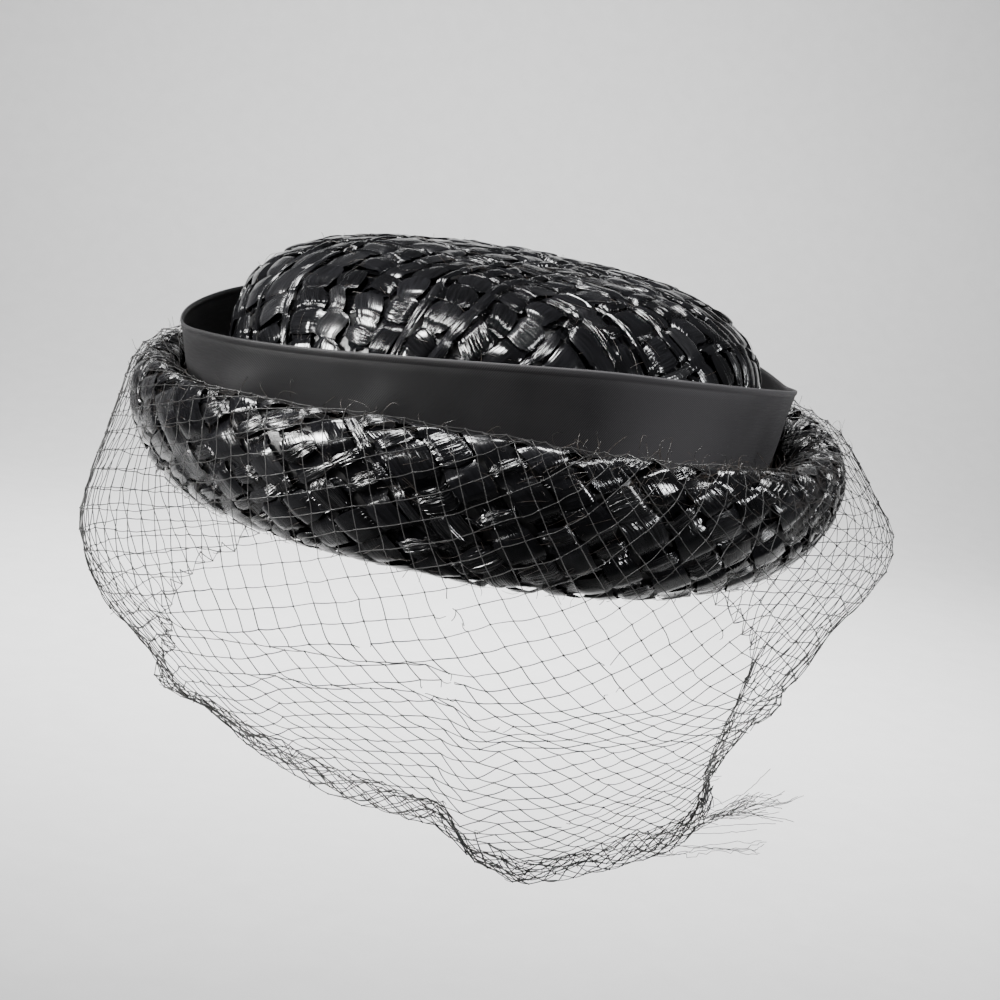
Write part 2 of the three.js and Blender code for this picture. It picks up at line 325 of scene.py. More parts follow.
def straw_material(name, gloss, tint):
    """Flat glossy strip: deep black, ridges along the strip, strong where it is pleated, and a shine that breaks up."""
    mat, nt, bsdf = new_material(name)
    uv = node(nt, "ShaderNodeUVMap")
    uv.uv_map = "UVMap"
    pleat = node(nt, "ShaderNodeAttribute", attribute_name="pleat")
    tone = node(nt, "ShaderNodeAttribute", attribute_name="tone")
    coord = nt.nodes.new("ShaderNodeTexCoord")

    def lengthwise(across, along_it, detail, rough, warp):
        """Noise stretched along the strip; the mapping is in features per mm."""
        m = node(nt, "ShaderNodeMapping")
        m.inputs["Scale"].default_value = (across, along_it, 1.0)
        link(nt, uv.outputs[0], m.inputs[0])
        n = node(nt, "ShaderNodeTexNoise", Scale=1.0, Detail=detail, Roughness=rough, Distortion=warp)
        link(nt, m.outputs[0], n.inputs["Vector"])
        return n.outputs["Fac"]
    folds_h = lengthwise(1.35, 0.09, 1.0, 0.5, 0.25)
    strands = lengthwise(2.3, 0.13, 0.5, 0.5, 0.1)
    torn = lengthwise(0.52, 0.22, 1.6, 0.5, 0.4)
    crumple = node(nt, "ShaderNodeTexNoise", Scale=260.0, Detail=1.0, Roughness=0.5)
    link(nt, coord.outputs["Object"], crumple.inputs["Vector"])
    fine = node(nt, "ShaderNodeTexNoise", Scale=2600.0, Detail=2.0, Roughness=0.6)
    link(nt, coord.outputs["Object"], fine.inputs["Vector"])
    ridge = math_node(nt, "MULTIPLY", math_node(nt, "ADD", folds_h, math_node(nt, "MULTIPLY", strands, 0.26)),
                      pleat.outputs["Fac"])
    calm = math_node(nt, "ADD", math_node(nt, "MULTIPLY", torn, 0.06), math_node(nt, "MULTIPLY", crumple.outputs["Fac"], 0.045))
    height = math_node(nt, "ADD", ridge, calm)
    bump = node(nt, "ShaderNodeBump", Strength=1.0, Distance=0.0011)
    link(nt, height, bump.inputs["Height"])
    link(nt, bump.outputs[0], bsdf.inputs["Normal"])
    # colour: black, a little paler along the strands of a pleated float
    col = ramp(nt, tone.outputs["Fac"], [(0.0, (0.0030, 0.0030, 0.0034)), (0.7, tint), (1.0, (0.013, 0.013, 0.014))])
    mix = node(nt, "ShaderNodeMix", data_type="RGBA", blend_type="MULTIPLY")
    mix.inputs[0].default_value = 0.8
    link(nt, col.outputs[0], mix.inputs[6])
    shade = ramp(nt, strands, [(0.35, (0.35, 0.35, 0.35)), (0.65, (1.3, 1.3, 1.3))])
    link(nt, shade.outputs[0], mix.inputs[7])
    link(nt, mix.outputs[2], bsdf.inputs["Base Color"])
    rough = ramp(nt, math_node(nt, "ADD", math_node(nt, "MULTIPLY", tone.outputs["Fac"], 0.8),
                               math_node(nt, "MULTIPLY", fine.outputs["Fac"], 0.2)),
                 [(0.2, (gloss,) * 3), (0.8, (gloss + 0.10,) * 3)])
    link(nt, rough.outputs[0], bsdf.inputs["Roughness"])
    bsdf.inputs["IOR"].default_value = 1.5
    bsdf.inputs["Coat Weight"].default_value = 0.15
    bsdf.inputs["Coat Roughness"].default_value = 0.08
    return mat


def base_material():
    """The woven wall under the strips and its inside: the same straw, duller."""
    mat, nt, bsdf = new_material("straw_inside")
    coord = nt.nodes.new("ShaderNodeTexCoord")
    fine = node(nt, "ShaderNodeTexNoise", Scale=1500.0, Detail=3.0, Roughness=0.6)
    link(nt, coord.outputs["Object"], fine.inputs["Vector"])
    tone = node(nt, "ShaderNodeAttribute", attribute_name="tone")
    mixed = math_node(nt, "ADD", math_node(nt, "MULTIPLY", tone.outputs["Fac"], 0.7),
                      math_node(nt, "MULTIPLY", fine.outputs["Fac"], 0.3))
    col = ramp(nt, mixed, [(0.15, (0.003, 0.003, 0.0032)), (0.8, (0.016, 0.015, 0.015))])
    link(nt, col.outputs[0], bsdf.inputs["Base Color"])
    rough = ramp(nt, fine.outputs["Fac"], [(0.3, (0.34,) * 3), (0.7, (0.52,) * 3)])
    link(nt, rough.outputs[0], bsdf.inputs["Roughness"])
    bump = node(nt, "ShaderNodeBump", Strength=0.5, Distance=0.0002)
    link(nt, fine.outputs["Fac"], bump.inputs["Height"])
    link(nt, bump.outputs[0], bsdf.inputs["Normal"])
    return mat


def ribbon_material():
    """Satin ribbon: fine slanting rib and soft sheen, with painted light: paler along its hem and towards its right
    end, where the light falls.
    """
    mat, nt, bsdf = new_material("ribbon")
    uv = node(nt, "ShaderNodeUVMap")
    uv.uv_map = "UVMap"
    turn = node(nt, "ShaderNodeMapping")
    turn.inputs["Rotation"].default_value = (0, 0, math.radians(38))
    link(nt, uv.outputs[0], turn.inputs[0])
    twill = node(nt, "ShaderNodeTexWave", wave_type="BANDS", bands_direction="X", wave_profile="SIN",
                 Scale=0.60, Distortion=0.5, Detail=1.0)
    twill.inputs["Detail Scale"].default_value = 0.4
    link(nt, turn.outputs[0], twill.inputs["Vector"])
    slub = node(nt, "ShaderNodeMapping")
    slub.inputs["Scale"].default_value = (0.12, 2.6, 1.0)
    link(nt, uv.outputs[0], slub.inputs[0])
    yarn = node(nt, "ShaderNodeTexNoise", Scale=1.0, Detail=4.0, Roughness=0.6)
    link(nt, slub.outputs[0], yarn.inputs["Vector"])
    cloud = node(nt, "ShaderNodeTexNoise", Scale=0.035, Detail=2.0, Roughness=0.5)
    link(nt, uv.outputs[0], cloud.inputs["Vector"])
    # painted light, read from a point attribute of the ribbon
    painted_light = node(nt, "ShaderNodeAttribute", attribute_name="painted_light")
    height = math_node(nt, "ADD", math_node(nt, "MULTIPLY", twill.outputs["Fac"], 0.8),
                       math_node(nt, "MULTIPLY", yarn.outputs["Fac"], 0.5))
    bump = node(nt, "ShaderNodeBump", Strength=0.42, Distance=0.00012)
    link(nt, height, bump.inputs["Height"])
    link(nt, bump.outputs[0], bsdf.inputs["Normal"])
    # painted light lifts the colour where light falls on the hem and on the right end
    level = math_node(nt, "ADD", math_node(nt, "ADD", math_node(nt, "MULTIPLY", cloud.outputs["Fac"], 0.45),
                                           math_node(nt, "MULTIPLY", twill.outputs["Fac"], 0.26)),
                      math_node(nt, "MULTIPLY", painted_light.outputs["Fac"], 0.5))
    col = ramp(nt, level, [(0.1, (0.0036, 0.0036, 0.0040)), (0.5, (0.0080, 0.0078, 0.0084)), (1.0, (0.050, 0.048, 0.050))])
    link(nt, col.outputs[0], bsdf.inputs["Base Color"])
    rough = ramp(nt, yarn.outputs["Fac"], [(0.3, (0.47,) * 3), (0.7, (0.62,) * 3)])
    link(nt, rough.outputs[0], bsdf.inputs["Roughness"])
    bsdf.inputs["Sheen Weight"].default_value = 0.05
    bsdf.inputs["Specular IOR Level"].default_value = 0.30
    bsdf.inputs["Sheen Roughness"].default_value = 0.4
    bsdf.inputs["Sheen Tint"].default_value = (0.75, 0.73, 0.75, 1)
    bsdf.inputs["Anisotropic"].default_value = 0.3
    return mat


def net_material():
    mat, nt, bsdf = new_material("net_thread")
    coord = nt.nodes.new("ShaderNodeTexCoord")
    n = node(nt, "ShaderNodeTexNoise", Scale=700.0, Detail=2.0, Roughness=0.6)
    link(nt, coord.outputs["Object"], n.inputs["Vector"])
    col = ramp(nt, n.outputs["Fac"], [(0.3, (0.004, 0.0038, 0.0038)), (0.75, (0.016, 0.015, 0.014))])
    link(nt, col.outputs[0], bsdf.inputs["Base Color"])
    rough = ramp(nt, n.outputs["Fac"], [(0.3, (0.3,) * 3), (0.75, (0.5,) * 3)])
    link(nt, rough.outputs[0], bsdf.inputs["Roughness"])
    bsdf.inputs["Sheen Weight"].default_value = 0.05
    return mat


def fibre_material():
    mat, nt, bsdf = new_material("loose_straw")
    coord = nt.nodes.new("ShaderNodeTexCoord")
    n = node(nt, "ShaderNodeTexNoise", Scale=500.0, Detail=2.0)
    link(nt, coord.outputs["Object"], n.inputs["Vector"])
    col = ramp(nt, n.outputs["Fac"], [(0.35, (0.010, 0.009, 0.008)), (0.7, (0.040, 0.030, 0.024))])
    link(nt, col.outputs[0], bsdf.inputs["Base Color"])
    rough = ramp(nt, n.outputs["Fac"], [(0.3, (0.22,) * 3), (0.7, (0.4,) * 3)])
    link(nt, rough.outputs[0], bsdf.inputs["Roughness"])
    return mat


# ------------------------------------------------------------------ woven straw
class Strips:
    """Strips side by side: where their edges lie in mm, which are thin folded ones, and which go together."""

    def __init__(self, total, wide, thin, share, generator, closed=False, even=None):
        edges, is_thin, unit = [0.0], [], []
        while edges[-1] < total:
            u = unit[-1] + 1 if unit else 0
            edges.append(edges[-1] + generator.uniform(*wide))
            is_thin.append(False)
            unit.append(u)
            if generator.random() < share:
                edges.append(edges[-1] + generator.uniform(*thin))
                is_thin.append(True)
                unit.append(u)
        if even is not None and (unit[-1] + 1) % 2 != even:     # a closed round needs the right number of turns
            edges.append(edges[-1] + sum(wide) / 2)
            is_thin.append(False)
            unit.append(unit[-1] + 1)
        self.edges = np.array(edges)
        self.is_thin, self.unit, self.n, self.closed = np.array(is_thin), np.array(unit), len(is_thin), closed
        if closed:
            self.edges *= total / self.edges[-1]
        else:
            self.edges -= self.edges[-1] / 2
        self.units = unit[-1] + 1
        self.round = total

    def edge(self, i):
        if self.closed:
            return self.edges[i % self.n] + self.round * (i // self.n)
        return self.edges[np.clip(i, 0, self.n)]

    def width(self, i):
        w = np.diff(self.edges)
        return w[i % self.n] if self.closed else w[np.clip(i, 0, self.n - 1)]

    def thin(self, i):
        return self.is_thin[i % self.n] if self.closed else self.is_thin[np.clip(i, 0, self.n - 1)]

    def unit_of(self, i):
        if self.closed:
            return self.unit[i % self.n] + self.units * (i // self.n)
        return self.unit[np.clip(i, 0, self.n - 1)]

    def index(self, at):
        if self.closed:
            k = np.floor(at / self.round).astype(int)
            return np.searchsorted(self.edges, at - k * self.round, side="right") - 1 + k * self.n
        return np.searchsorted(self.edges, at, side="right") - 1


def dice(i, j, salt):
    """A fixed number from 0 to 1 for each crossing."""
    x = np.sin(i * 12.9898 + j * 78.233 + salt * 37.719) * 43758.5453
    return x - np.floor(x)


WIDTH, ARCH, TILT, CREASE, WHERE, PLEAT, AMP, TONE, LIFT, SIDE, DOME, START, END, SKEW = range(14)


def floats(shape, is_thin, g, smooth, pleated, lens, stray, arch):
    """What each crossing of a strip looks like: a smooth flat tile, a pleated fan or a pinched bundle."""
    kind = g.random(shape)
    flat = (kind < smooth) & ~is_thin
    fan = (kind >= smooth) & (kind < smooth + pleated) & ~is_thin
    u = g.uniform

    def choose(a, b, c, d):
        """Values for flat tiles, fans, bundles and thin strips."""
        return np.where(flat, u(*a, shape), np.where(fan, u(*b, shape), np.where(is_thin, u(*d, shape), u(*c, shape))))
    out = np.empty(shape + (14,))
    out[..., WIDTH] = choose((0.86, 1.05), (0.68, 1.0), (0.36, 0.56), (0.80, 1.12))
    out[..., ARCH] = choose((0.10, 0.50), (0.15, 0.5), (0.5, 0.9), (0.4, 0.8)) + arch
    out[..., TILT] = choose((-0.55, 0.55), (-0.5, 0.5), (-0.3, 0.3), (-0.3, 0.3))
    out[..., CREASE] = np.where(g.random(shape) < 0.5, choose((-0.5, 0.5), (-0.4, 0.4), (0, 0.1), (0, 0.1)), 0)
    out[..., WHERE] = u(-0.28, 0.28, shape)
    out[..., PLEAT] = choose((0.02, 0.20), (0.6, 1.0), (0.7, 1.0), (0.6, 1.0))
    out[..., AMP] = choose((0.01, 0.06), (0.12, 0.26), (0.10, 0.2), (0.08, 0.16))
    out[..., TONE] = g.random(shape)
    out[..., LIFT] = u(-0.12, 0.20, shape)
    out[..., SIDE] = u(-stray, stray, shape)
    out[..., DOME] = choose((0.0, 0.28), (0.05, 0.35), (0.1, 0.4), (0.05, 0.25))
    out[..., START] = choose(lens, (0.30, 0.98), (0.35, 0.65), (0.62, 0.95))
    out[..., END] = choose(lens, (0.30, 0.98), (0.35, 0.65), (0.62, 0.95))
    out[..., SKEW] = u(-stray * 2.4, stray * 2.4, shape)
    return out


STEPS = np.array([0.0, 0.06, 0.16, 0.29, 0.43, 0.57, 0.71, 0.84, 0.94])
DIP = 1.7            # mm over which a strip drops under its neighbour


def weave(own, other, ids, first, cross, sign, place, across, height, seed, smooth, pleated, lens=(0.80, 1.0),
          stray=0.06, arch=0.0):
    """One set of strips: strips ids of own, each over cross crossings of other from index first on. sign(i, j) is +1
    where own is on top. place(own mm, other mm, lift) puts points on the surface and says which are kept."""
    g = np.random.default_rng(seed)
    count, per, n = len(ids), len(STEPS), across + 1
    i = ids[:, None]
    j = first[:, None] + np.arange(-1, cross + 1)[None, :]          # one spare crossing at each end
    s = sign(i, j).astype(float)
    thin = np.broadcast_to(own.thin(i), j.shape)
    data = floats(j.shape, thin, g, smooth, pleated, lens, stray, arch)
    ends = data[..., WIDTH, None] * data[..., START:END + 1]
    up_j = s > 0
    # width where a strip passes from one crossing to the next: the float on top says
    before, after = ends[:, :-1, 1], ends[:, 1:, 0]
    edge_w = np.where(up_j[:, :-1] == up_j[:, 1:], (before + after) / 2, np.where(up_j[:, 1:], after, before))
    k = np.repeat(np.arange(cross), per)
    f = np.tile(STEPS, cross)
    k, f = np.append(k, cross - 1), np.append(f, 1.0)
    nb = len(k)
    jj = j[:, 1 + k]
    w_other = other.width(jj)
    b = other.edge(jj) + f[None] * w_other
    d0, d1 = f[None] * w_other, (1 - f)[None] * w_other

    def ease(x):
        x = np.clip(x, 0, 1)
        return x * x * (3 - 2 * x)
    here, prev, nxt = s[:, 1 + k], s[:, k], s[:, 2 + k]
    wave = here + (prev - here) * 0.5 * (1 - ease(d0 / DIP)) + (nxt - here) * 0.5 * (1 - ease(d1 / DIP))
    up = np.clip(wave, 0, 1)[..., None]
    # looks blend across the edges of a crossing
    t0 = 0.5 * (1 - ease(f / 0.22))[None, :, None]
    t1 = 0.5 * (1 - ease((1 - f) / 0.22))[None, :, None]
    d = data[:, 1 + k] * (1 - t0 - t1) + data[:, k] * t0 + data[:, 2 + k] * t1
    col = lambda c: d[..., c][..., None]
    e = (edge_w[:, k] * (1 - f) + edge_w[:, k + 1] * f)
    w = (e + (data[:, 1 + k, WIDTH] - e) * np.sin(np.pi * f)[None] ** 0.6)[..., None]
    w_own = own.width(ids)[:, None, None]
    t = np.linspace(-0.5, 0.5, n)[None, None, :]
    span = w * w_own
    # each float has its own lengthwise folds
    prof = g.normal(0, 1, j.shape + (n,))
    prof = 0.25 * np.roll(prof, 1, -1) + 0.5 * prof + 0.25 * np.roll(prof, -1, -1)
    p = prof[:, 1 + k] * (1 - t0 - t1) + prof[:, k] * t0 + prof[:, 2 + k] * t1
    bell = np.sin(np.pi * f)[None, :, None]
    h = height * wave[..., None] + (col(LIFT) + col(DOME) * bell) * up
    h = h + col(ARCH) * (1 - np.abs(2 * t) ** 2.4) * (0.35 + 0.65 * up) * np.clip(span / 5.0, 0.5, 1.1)
    h = h + col(TILT) * t * 1.4 * up + col(CREASE) * (0.30 - np.abs(t - col(WHERE))) * 1.8 * up
    h = h + col(AMP) * 1.6 * p * (0.35 + 0.65 * up)
    h = h + 0.09 * soft_noise((count, nb, n), (cross * 3, 4), g) * (0.3 + 0.7 * up)
    ragged = 0.16 * soft_noise((count, nb, 2), (cross * 5, 1), g)
    rough = np.where(t < 0, ragged[..., :1], ragged[..., 1:]) * np.abs(2 * t) ** 3
    centre = own.edge(i)[..., None] + (0.5 + col(SIDE)) * w_own
    a = centre + t * span + rough + col(SKEW) * (f[None, :, None] - 0.5) * w_own
    bb = np.broadcast_to(b[..., None], a.shape)
    pts, keep = place(a, bb, h)
    verts, keep = pts.reshape(-1, 3), keep.reshape(-1)
    faces = (grid_faces(nb, n)[None] + (np.arange(count) * nb * n)[:, None, None]).reshape(-1, 4)
    faces = faces[keep[faces].all(1)]
    used, inverse = np.unique(faces, return_inverse=True)
    across_mm = np.broadcast_to(t, a.shape) * (0.45 + 0.55 * w) * w_own
    uv = np.stack([across_mm + (i[..., None] * 31.7) % 997, bb], -1).reshape(-1, 2)
    values = {"pleat": np.broadcast_to(col(PLEAT), a.shape).reshape(-1)[used],
              "tone": np.broadcast_to(col(TONE), a.shape).reshape(-1)[used]}
    return verts[used], inverse.reshape(-1, 4), uv[used], values


def join(parts):
    verts, faces, uv, values, start = [], [], [], {}, 0
    for v, f, u, vals in parts:
        verts.append(v)
        faces.append(f + start)
        uv.append(u)
        for k, x in vals.items():
            values.setdefault(k, []).append(x)
        start += len(v)
    return np.concatenate(verts), np.concatenate(faces), np.concatenate(uv), {k: np.concatenate(x) for k, x in values.items()}


crown_s, brim_s, veil_s = crown_skin(), brim_skin(), veil_skin()
straw_crown = straw_material("straw_crown", 0.13, (0.006, 0.006, 0.007))
straw_brim = straw_material("straw_brim", 0.11, (0.005, 0.005, 0.006))
inside = base_material()

# crown: strips crossing squarely, blocked over the dome
C_TURN = math.radians(-38)
crown_long = float(crown_s.length.mean())
lowest = 0.90 * crown_long      # strips stop low in the valley, where the ribbon stands close
plan_g = np.random.default_rng(3)
CA = Strips(2 * lowest + 12, (9.0, 12.0), (2.8, 4.0), 0.55, plan_g)
CB = Strips(2 * lowest + 12, (8.8, 12.2), (2.8, 4.2), 0.60, plan_g)


def place_crown(a, b, lift):
    x = a * math.cos(C_TURN) - b * math.sin(C_TURN)
    y = a * math.sin(C_TURN) + b * math.cos(C_TURN)
    # the strips wander, as in straw that was stretched over a block
    x, y = (x + 2.4 * np.sin(y / 15.0 + 0.7) + 1.3 * np.sin(y / 6.9 + x / 17.0 + 2.0),
            y + 2.2 * np.sin(x / 16.0 + 1.9) + 1.3 * np.sin(x / 7.3 - y / 15.0 + 0.4))
    far = np.hypot(x, y)
    at = np.degrees(np.arctan2(x, -y))
    ease = np.clip((lowest - far) / 14 + 0.35, 0.35, 1)
    return crown_s.at(at, far / crown_long, (lift - 0.55) * ease), far < lowest


def crown_over(i, j):
    """+1 where strip i of the first set lies over strip j of the second. The set that runs nearer to straight down
    from the top of the dome lies on top more often, and thin folded strips mostly lie on top."""
    board = (CA.unit_of(i) + CB.unit_of(j)) % 2 == 0
    a_thin, b_thin = CA.thin(i), CB.thin(j)
    a_mid, b_mid = CA.edge(i) + CA.width(i) / 2, CB.edge(j) + CB.width(j) / 2
    down = np.abs(b_mid) > np.abs(a_mid)            # set A runs down the dome here
    r = dice(i, j, 1)
    both_wide = np.where(down, board | (r < 0.44), board & (r > 0.44))
    both_thin = np.where(down, r < 0.75, r > 0.75)
    over = np.where(a_thin & b_thin, both_thin, np.where(b_thin, r < np.where(down, 0.55, 0.10),
                    np.where(a_thin, r > np.where(down, 0.10, 0.55), both_wide)))
    return np.where(over, 1.0, -1.0)


def crown_set(own, other, sign, place, seed):
    parts = []
    ids = np.arange(own.n)
    for thin, across in ((False, 9), (True, 5)):
        some = ids[own.is_thin == thin]
        parts.append(weave(own, other, some, np.zeros(len(some), int), other.n, sign, place, across,
                           0.80 if not thin else 1.12, seed + thin, 0.62, 0.27, lens=(0.42, 0.86), stray=0.13, arch=0.22))
    return join(parts)


v, f, uv, vals = crown_set(CA, CB, crown_over, place_crown, 11)
crown_a = make("crown_straw_a", v, f, straw_crown, uv, vals)
v, f, uv, vals = crown_set(CB, CA, lambda i, j: -crown_over(j, i), lambda a, b, h: place_crown(b, a, h), 15)
crown_b = make("crown_straw_b", v, f, straw_crown, uv, vals)

# brim: slanting strips that close on themselves round the hat
brim_long = float(brim_s.length.mean())
ROUND = 716.0                   # millimetres round the brim at its widest
A_SLANT, B_SLANT = math.radians(45), math.radians(29)
LA, LB = ROUND * math.sin(A_SLANT), ROUND * math.sin(B_SLANT)
KA, KB = math.cos(A_SLANT), math.cos(B_SLANT)
DET = LB * KA + LA * KB
BA = Strips(LA, (9.0, 11.6), (3.0, 4.2), 0.14, plan_g, closed=True, even=0)
BB = Strips(LB, (8.4, 11.2), (3.0, 4.2), 0.16, plan_g, closed=True, even=0)


def place_brim(a, b, lift):
    """Set A runs down to the right, set B up to the right; a and b are mm across the sets."""
    v = (LB * a - LA * b) / DET
    u = (a - KA * v) / LA
    at = ((u * 360.0 + 360000.0) % 360.0) - 180.0
    keep = (v > 1.0) & (v < brim_long + 0.6)
    tip = np.clip((brim_long - v) / 12, 0.4, 1) * np.clip((v + 1) / 10, 0.35, 1)
    return brim_s.at(at, v / brim_long, (lift - 0.55) * tip * pressed(at, v / brim_long)), keep


def pressed(at, v):
    """The straw lies flatter where the brim faces down."""
    return 1 - 0.42 * np.clip((-brim_s.pick(brim_s.nrm, at, np.clip(v, 0, 1))[..., 2] - 0.50) / 0.30, 0, 1)


def brim_over(i, j):
    k = i // BA.n                                  # the same crossing has one name all round
    i, j = i - k * BA.n, j - k * BB.n
    a, b = BA.edge(i) + BA.width(i) / 2, BB.edge(j) + BB.width(j) / 2
    at = (((a - KA * (LB * a - LA * b) / DET) / LA * 360.0 + 360000.0) % 360.0) - 180.0
    left = np.clip(1.5 - np.abs(at + 86) / 26, 0, 1)     # long floats of set A round the left end
    board = (BA.unit_of(i) + BB.unit_of(j)) % 2 == 0
    r = dice(i, j, 2)
    mixed = BA.thin(i) | BB.thin(j)
    over = (board ^ (r > np.where(mixed, 0.6, 0.95))) | (dice(i, j, 4) < 0.45 * left)
    return np.where(over, 1.0, -1.0)


def brim_set(own, other, sign, place, lo, hi, seed, low_b, high_b, smooth, pleated):
    parts = []
    ids = np.arange(lo, hi)
    for thin, across in ((False, 10), (True, 5)):
        some = ids[own.is_thin[lo:hi] == thin]
        if not len(some):
            continue
        centre = own.edge(some) + own.width(some) / 2
        first = other.index(low_b(centre)) - 1
        cross = int((other.index(high_b(centre)) + 2 - first).max())
        parts.append(weave(own, other, some, first, cross, sign, place, across, 0.85, seed + thin, smooth, pleated))
    return join(parts)


def pleat_right(v, vals):
    """The straw is split into fine strands where the roll turns on the right."""
    at = np.degrees(np.arctan2(v[:, 0], -v[:, 1]))
    here = np.clip(1 - np.abs(at - 96) / 34, 0, 1) * np.clip((v[:, 2] - 16) / 8, 0, 1)
    vals["pleat"] = np.maximum(vals["pleat"], np.clip(here * 2.2, 0, 1))


for key, lo, hi, seed in (("a1", 0, BA.n // 2, 31), ("a2", BA.n // 2, BA.n, 35)):
    v, f, uv, vals = brim_set(BA, BB, brim_over, place_brim, lo, hi, seed, lambda a: LB * a / LA - brim_long * DET / LA,
                              lambda a: LB * a / LA, 0.68, 0.24)
    pleat_right(v, vals)
    piece = make("brim_straw_" + key, v, f, straw_brim, uv, vals)
for key, lo, hi, seed in (("b1", 0, BB.n // 2, 41), ("b2", BB.n // 2, BB.n, 45)):
    v, f, uv, vals = brim_set(BB, BA, lambda i, j: -brim_over(j, i), lambda a, b, h: place_brim(b, a, h), lo, hi, seed,
                              lambda b: LA * b / LB, lambda b: LA * b / LB + brim_long * DET / LB, 0.14, 0.36)
    pleat_right(v, vals)
    piece = make("brim_straw_" + key, v, f, straw_brim, uv, vals)


# walls under the strips; the inside of the crown shows the same weave from behind
def weave_height(a, b):
    """Height of a plain weave at lattice points, from -1 to 1."""
    i, j = np.floor(a), np.floor(b)
    s = np.where((i + j) % 2 == 0, 1.0, -1.0)
    over_a = np.abs(np.cos(np.pi * (b - j - 0.5))) ** 0.6 * (1 - (2 * (a - i - 0.5)) ** 4)
    over_b = np.abs(np.cos(np.pi * (a - i - 0.5))) ** 0.6 * (1 - (2 * (b - j - 0.5)) ** 4)
    return np.where(s > 0, over_a, over_b) * 2 - 1, (i * 131.7 + j * 57.3 + s * 11.1)


def tone_of(code):
    x = np.sin(code * 12.9898) * 43758.5453
    return x - np.floor(x)


def crown_wall():
    cols, rows_in, rows_out = 300, 96, 30
    at = np.linspace(-180, 180, cols, endpoint=False)
    v_in, v_out = np.linspace(0.004, 0.995, rows_in), np.linspace(0.995, 0.004, rows_out)
    A, V = np.meshgrid(at, v_in)
    far = V * crown_long
    x, y = far * np.sin(np.radians(A)), -far * np.cos(np.radians(A))
    la = (x * math.cos(C_TURN) + y * math.sin(C_TURN)) / 7.6
    lb = (-x * math.sin(C_TURN) + y * math.cos(C_TURN)) / 7.6
    h, code = weave_height(la, lb)
    inner = crown_s.at(A, V, -2.35 - 0.42 * h)
    Ao, Vo = np.meshgrid(at, v_out)
    outer = crown_s.at(Ao, Vo, np.full(Ao.shape, -1.55) + 0.9 * np.clip((Vo - 0.86) / 0.1, 0, 1))
    verts = np.concatenate([inner.reshape(-1, 3), outer.reshape(-1, 3)])
    tone = np.concatenate([tone_of(code).ravel(), np.full(outer.shape[0] * cols, 0.05)])
    faces = grid_faces(rows_in + rows_out, cols, wrap=True)
    top_in, top_out = len(verts), len(verts) + 1
    verts = np.concatenate([verts, [inner[0].mean(0), outer[-1].mean(0)]])
    tone = np.concatenate([tone, [0.5, 0.05]])
    c = np.arange(cols)
    n = (c + 1) % cols
    last = (rows_in + rows_out - 1) * cols
    caps = np.concatenate([np.stack([n, c, np.full(cols, top_in)], -1),
                           np.stack([last + c, last + n, np.full(cols, top_out)], -1)])
    return make("crown_wall", verts, [faces, caps], inside, values={"tone": tone})


def brim_wall():
    cols, rows = 240, 40
    at = np.linspace(-180, 180, cols, endpoint=False)
    v = np.linspace(0.0, 1.0, rows)
    A, V = np.meshgrid(at, v)
    outer = brim_s.at(A, V, -1.45 * pressed(A, V))
    inner = brim_s.at(A[::-1], V[::-1], np.full(A.shape, -2.5))
    verts = np.concatenate([outer.reshape(-1, 3), inner.reshape(-1, 3)])
    faces = grid_faces(2 * rows, cols, wrap=True)
    c = np.arange(cols)
    n = (c + 1) % cols
    last = (2 * rows - 1) * cols
    seam = np.stack([last + c, last + n, n, c], -1)
    return make("brim_wall", verts, np.concatenate([faces, seam]), inside, values={"tone": np.full(len(verts), 0.15)})


crown_in, brim_in = crown_wall(), brim_wall()
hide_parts("crown")
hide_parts("brim")


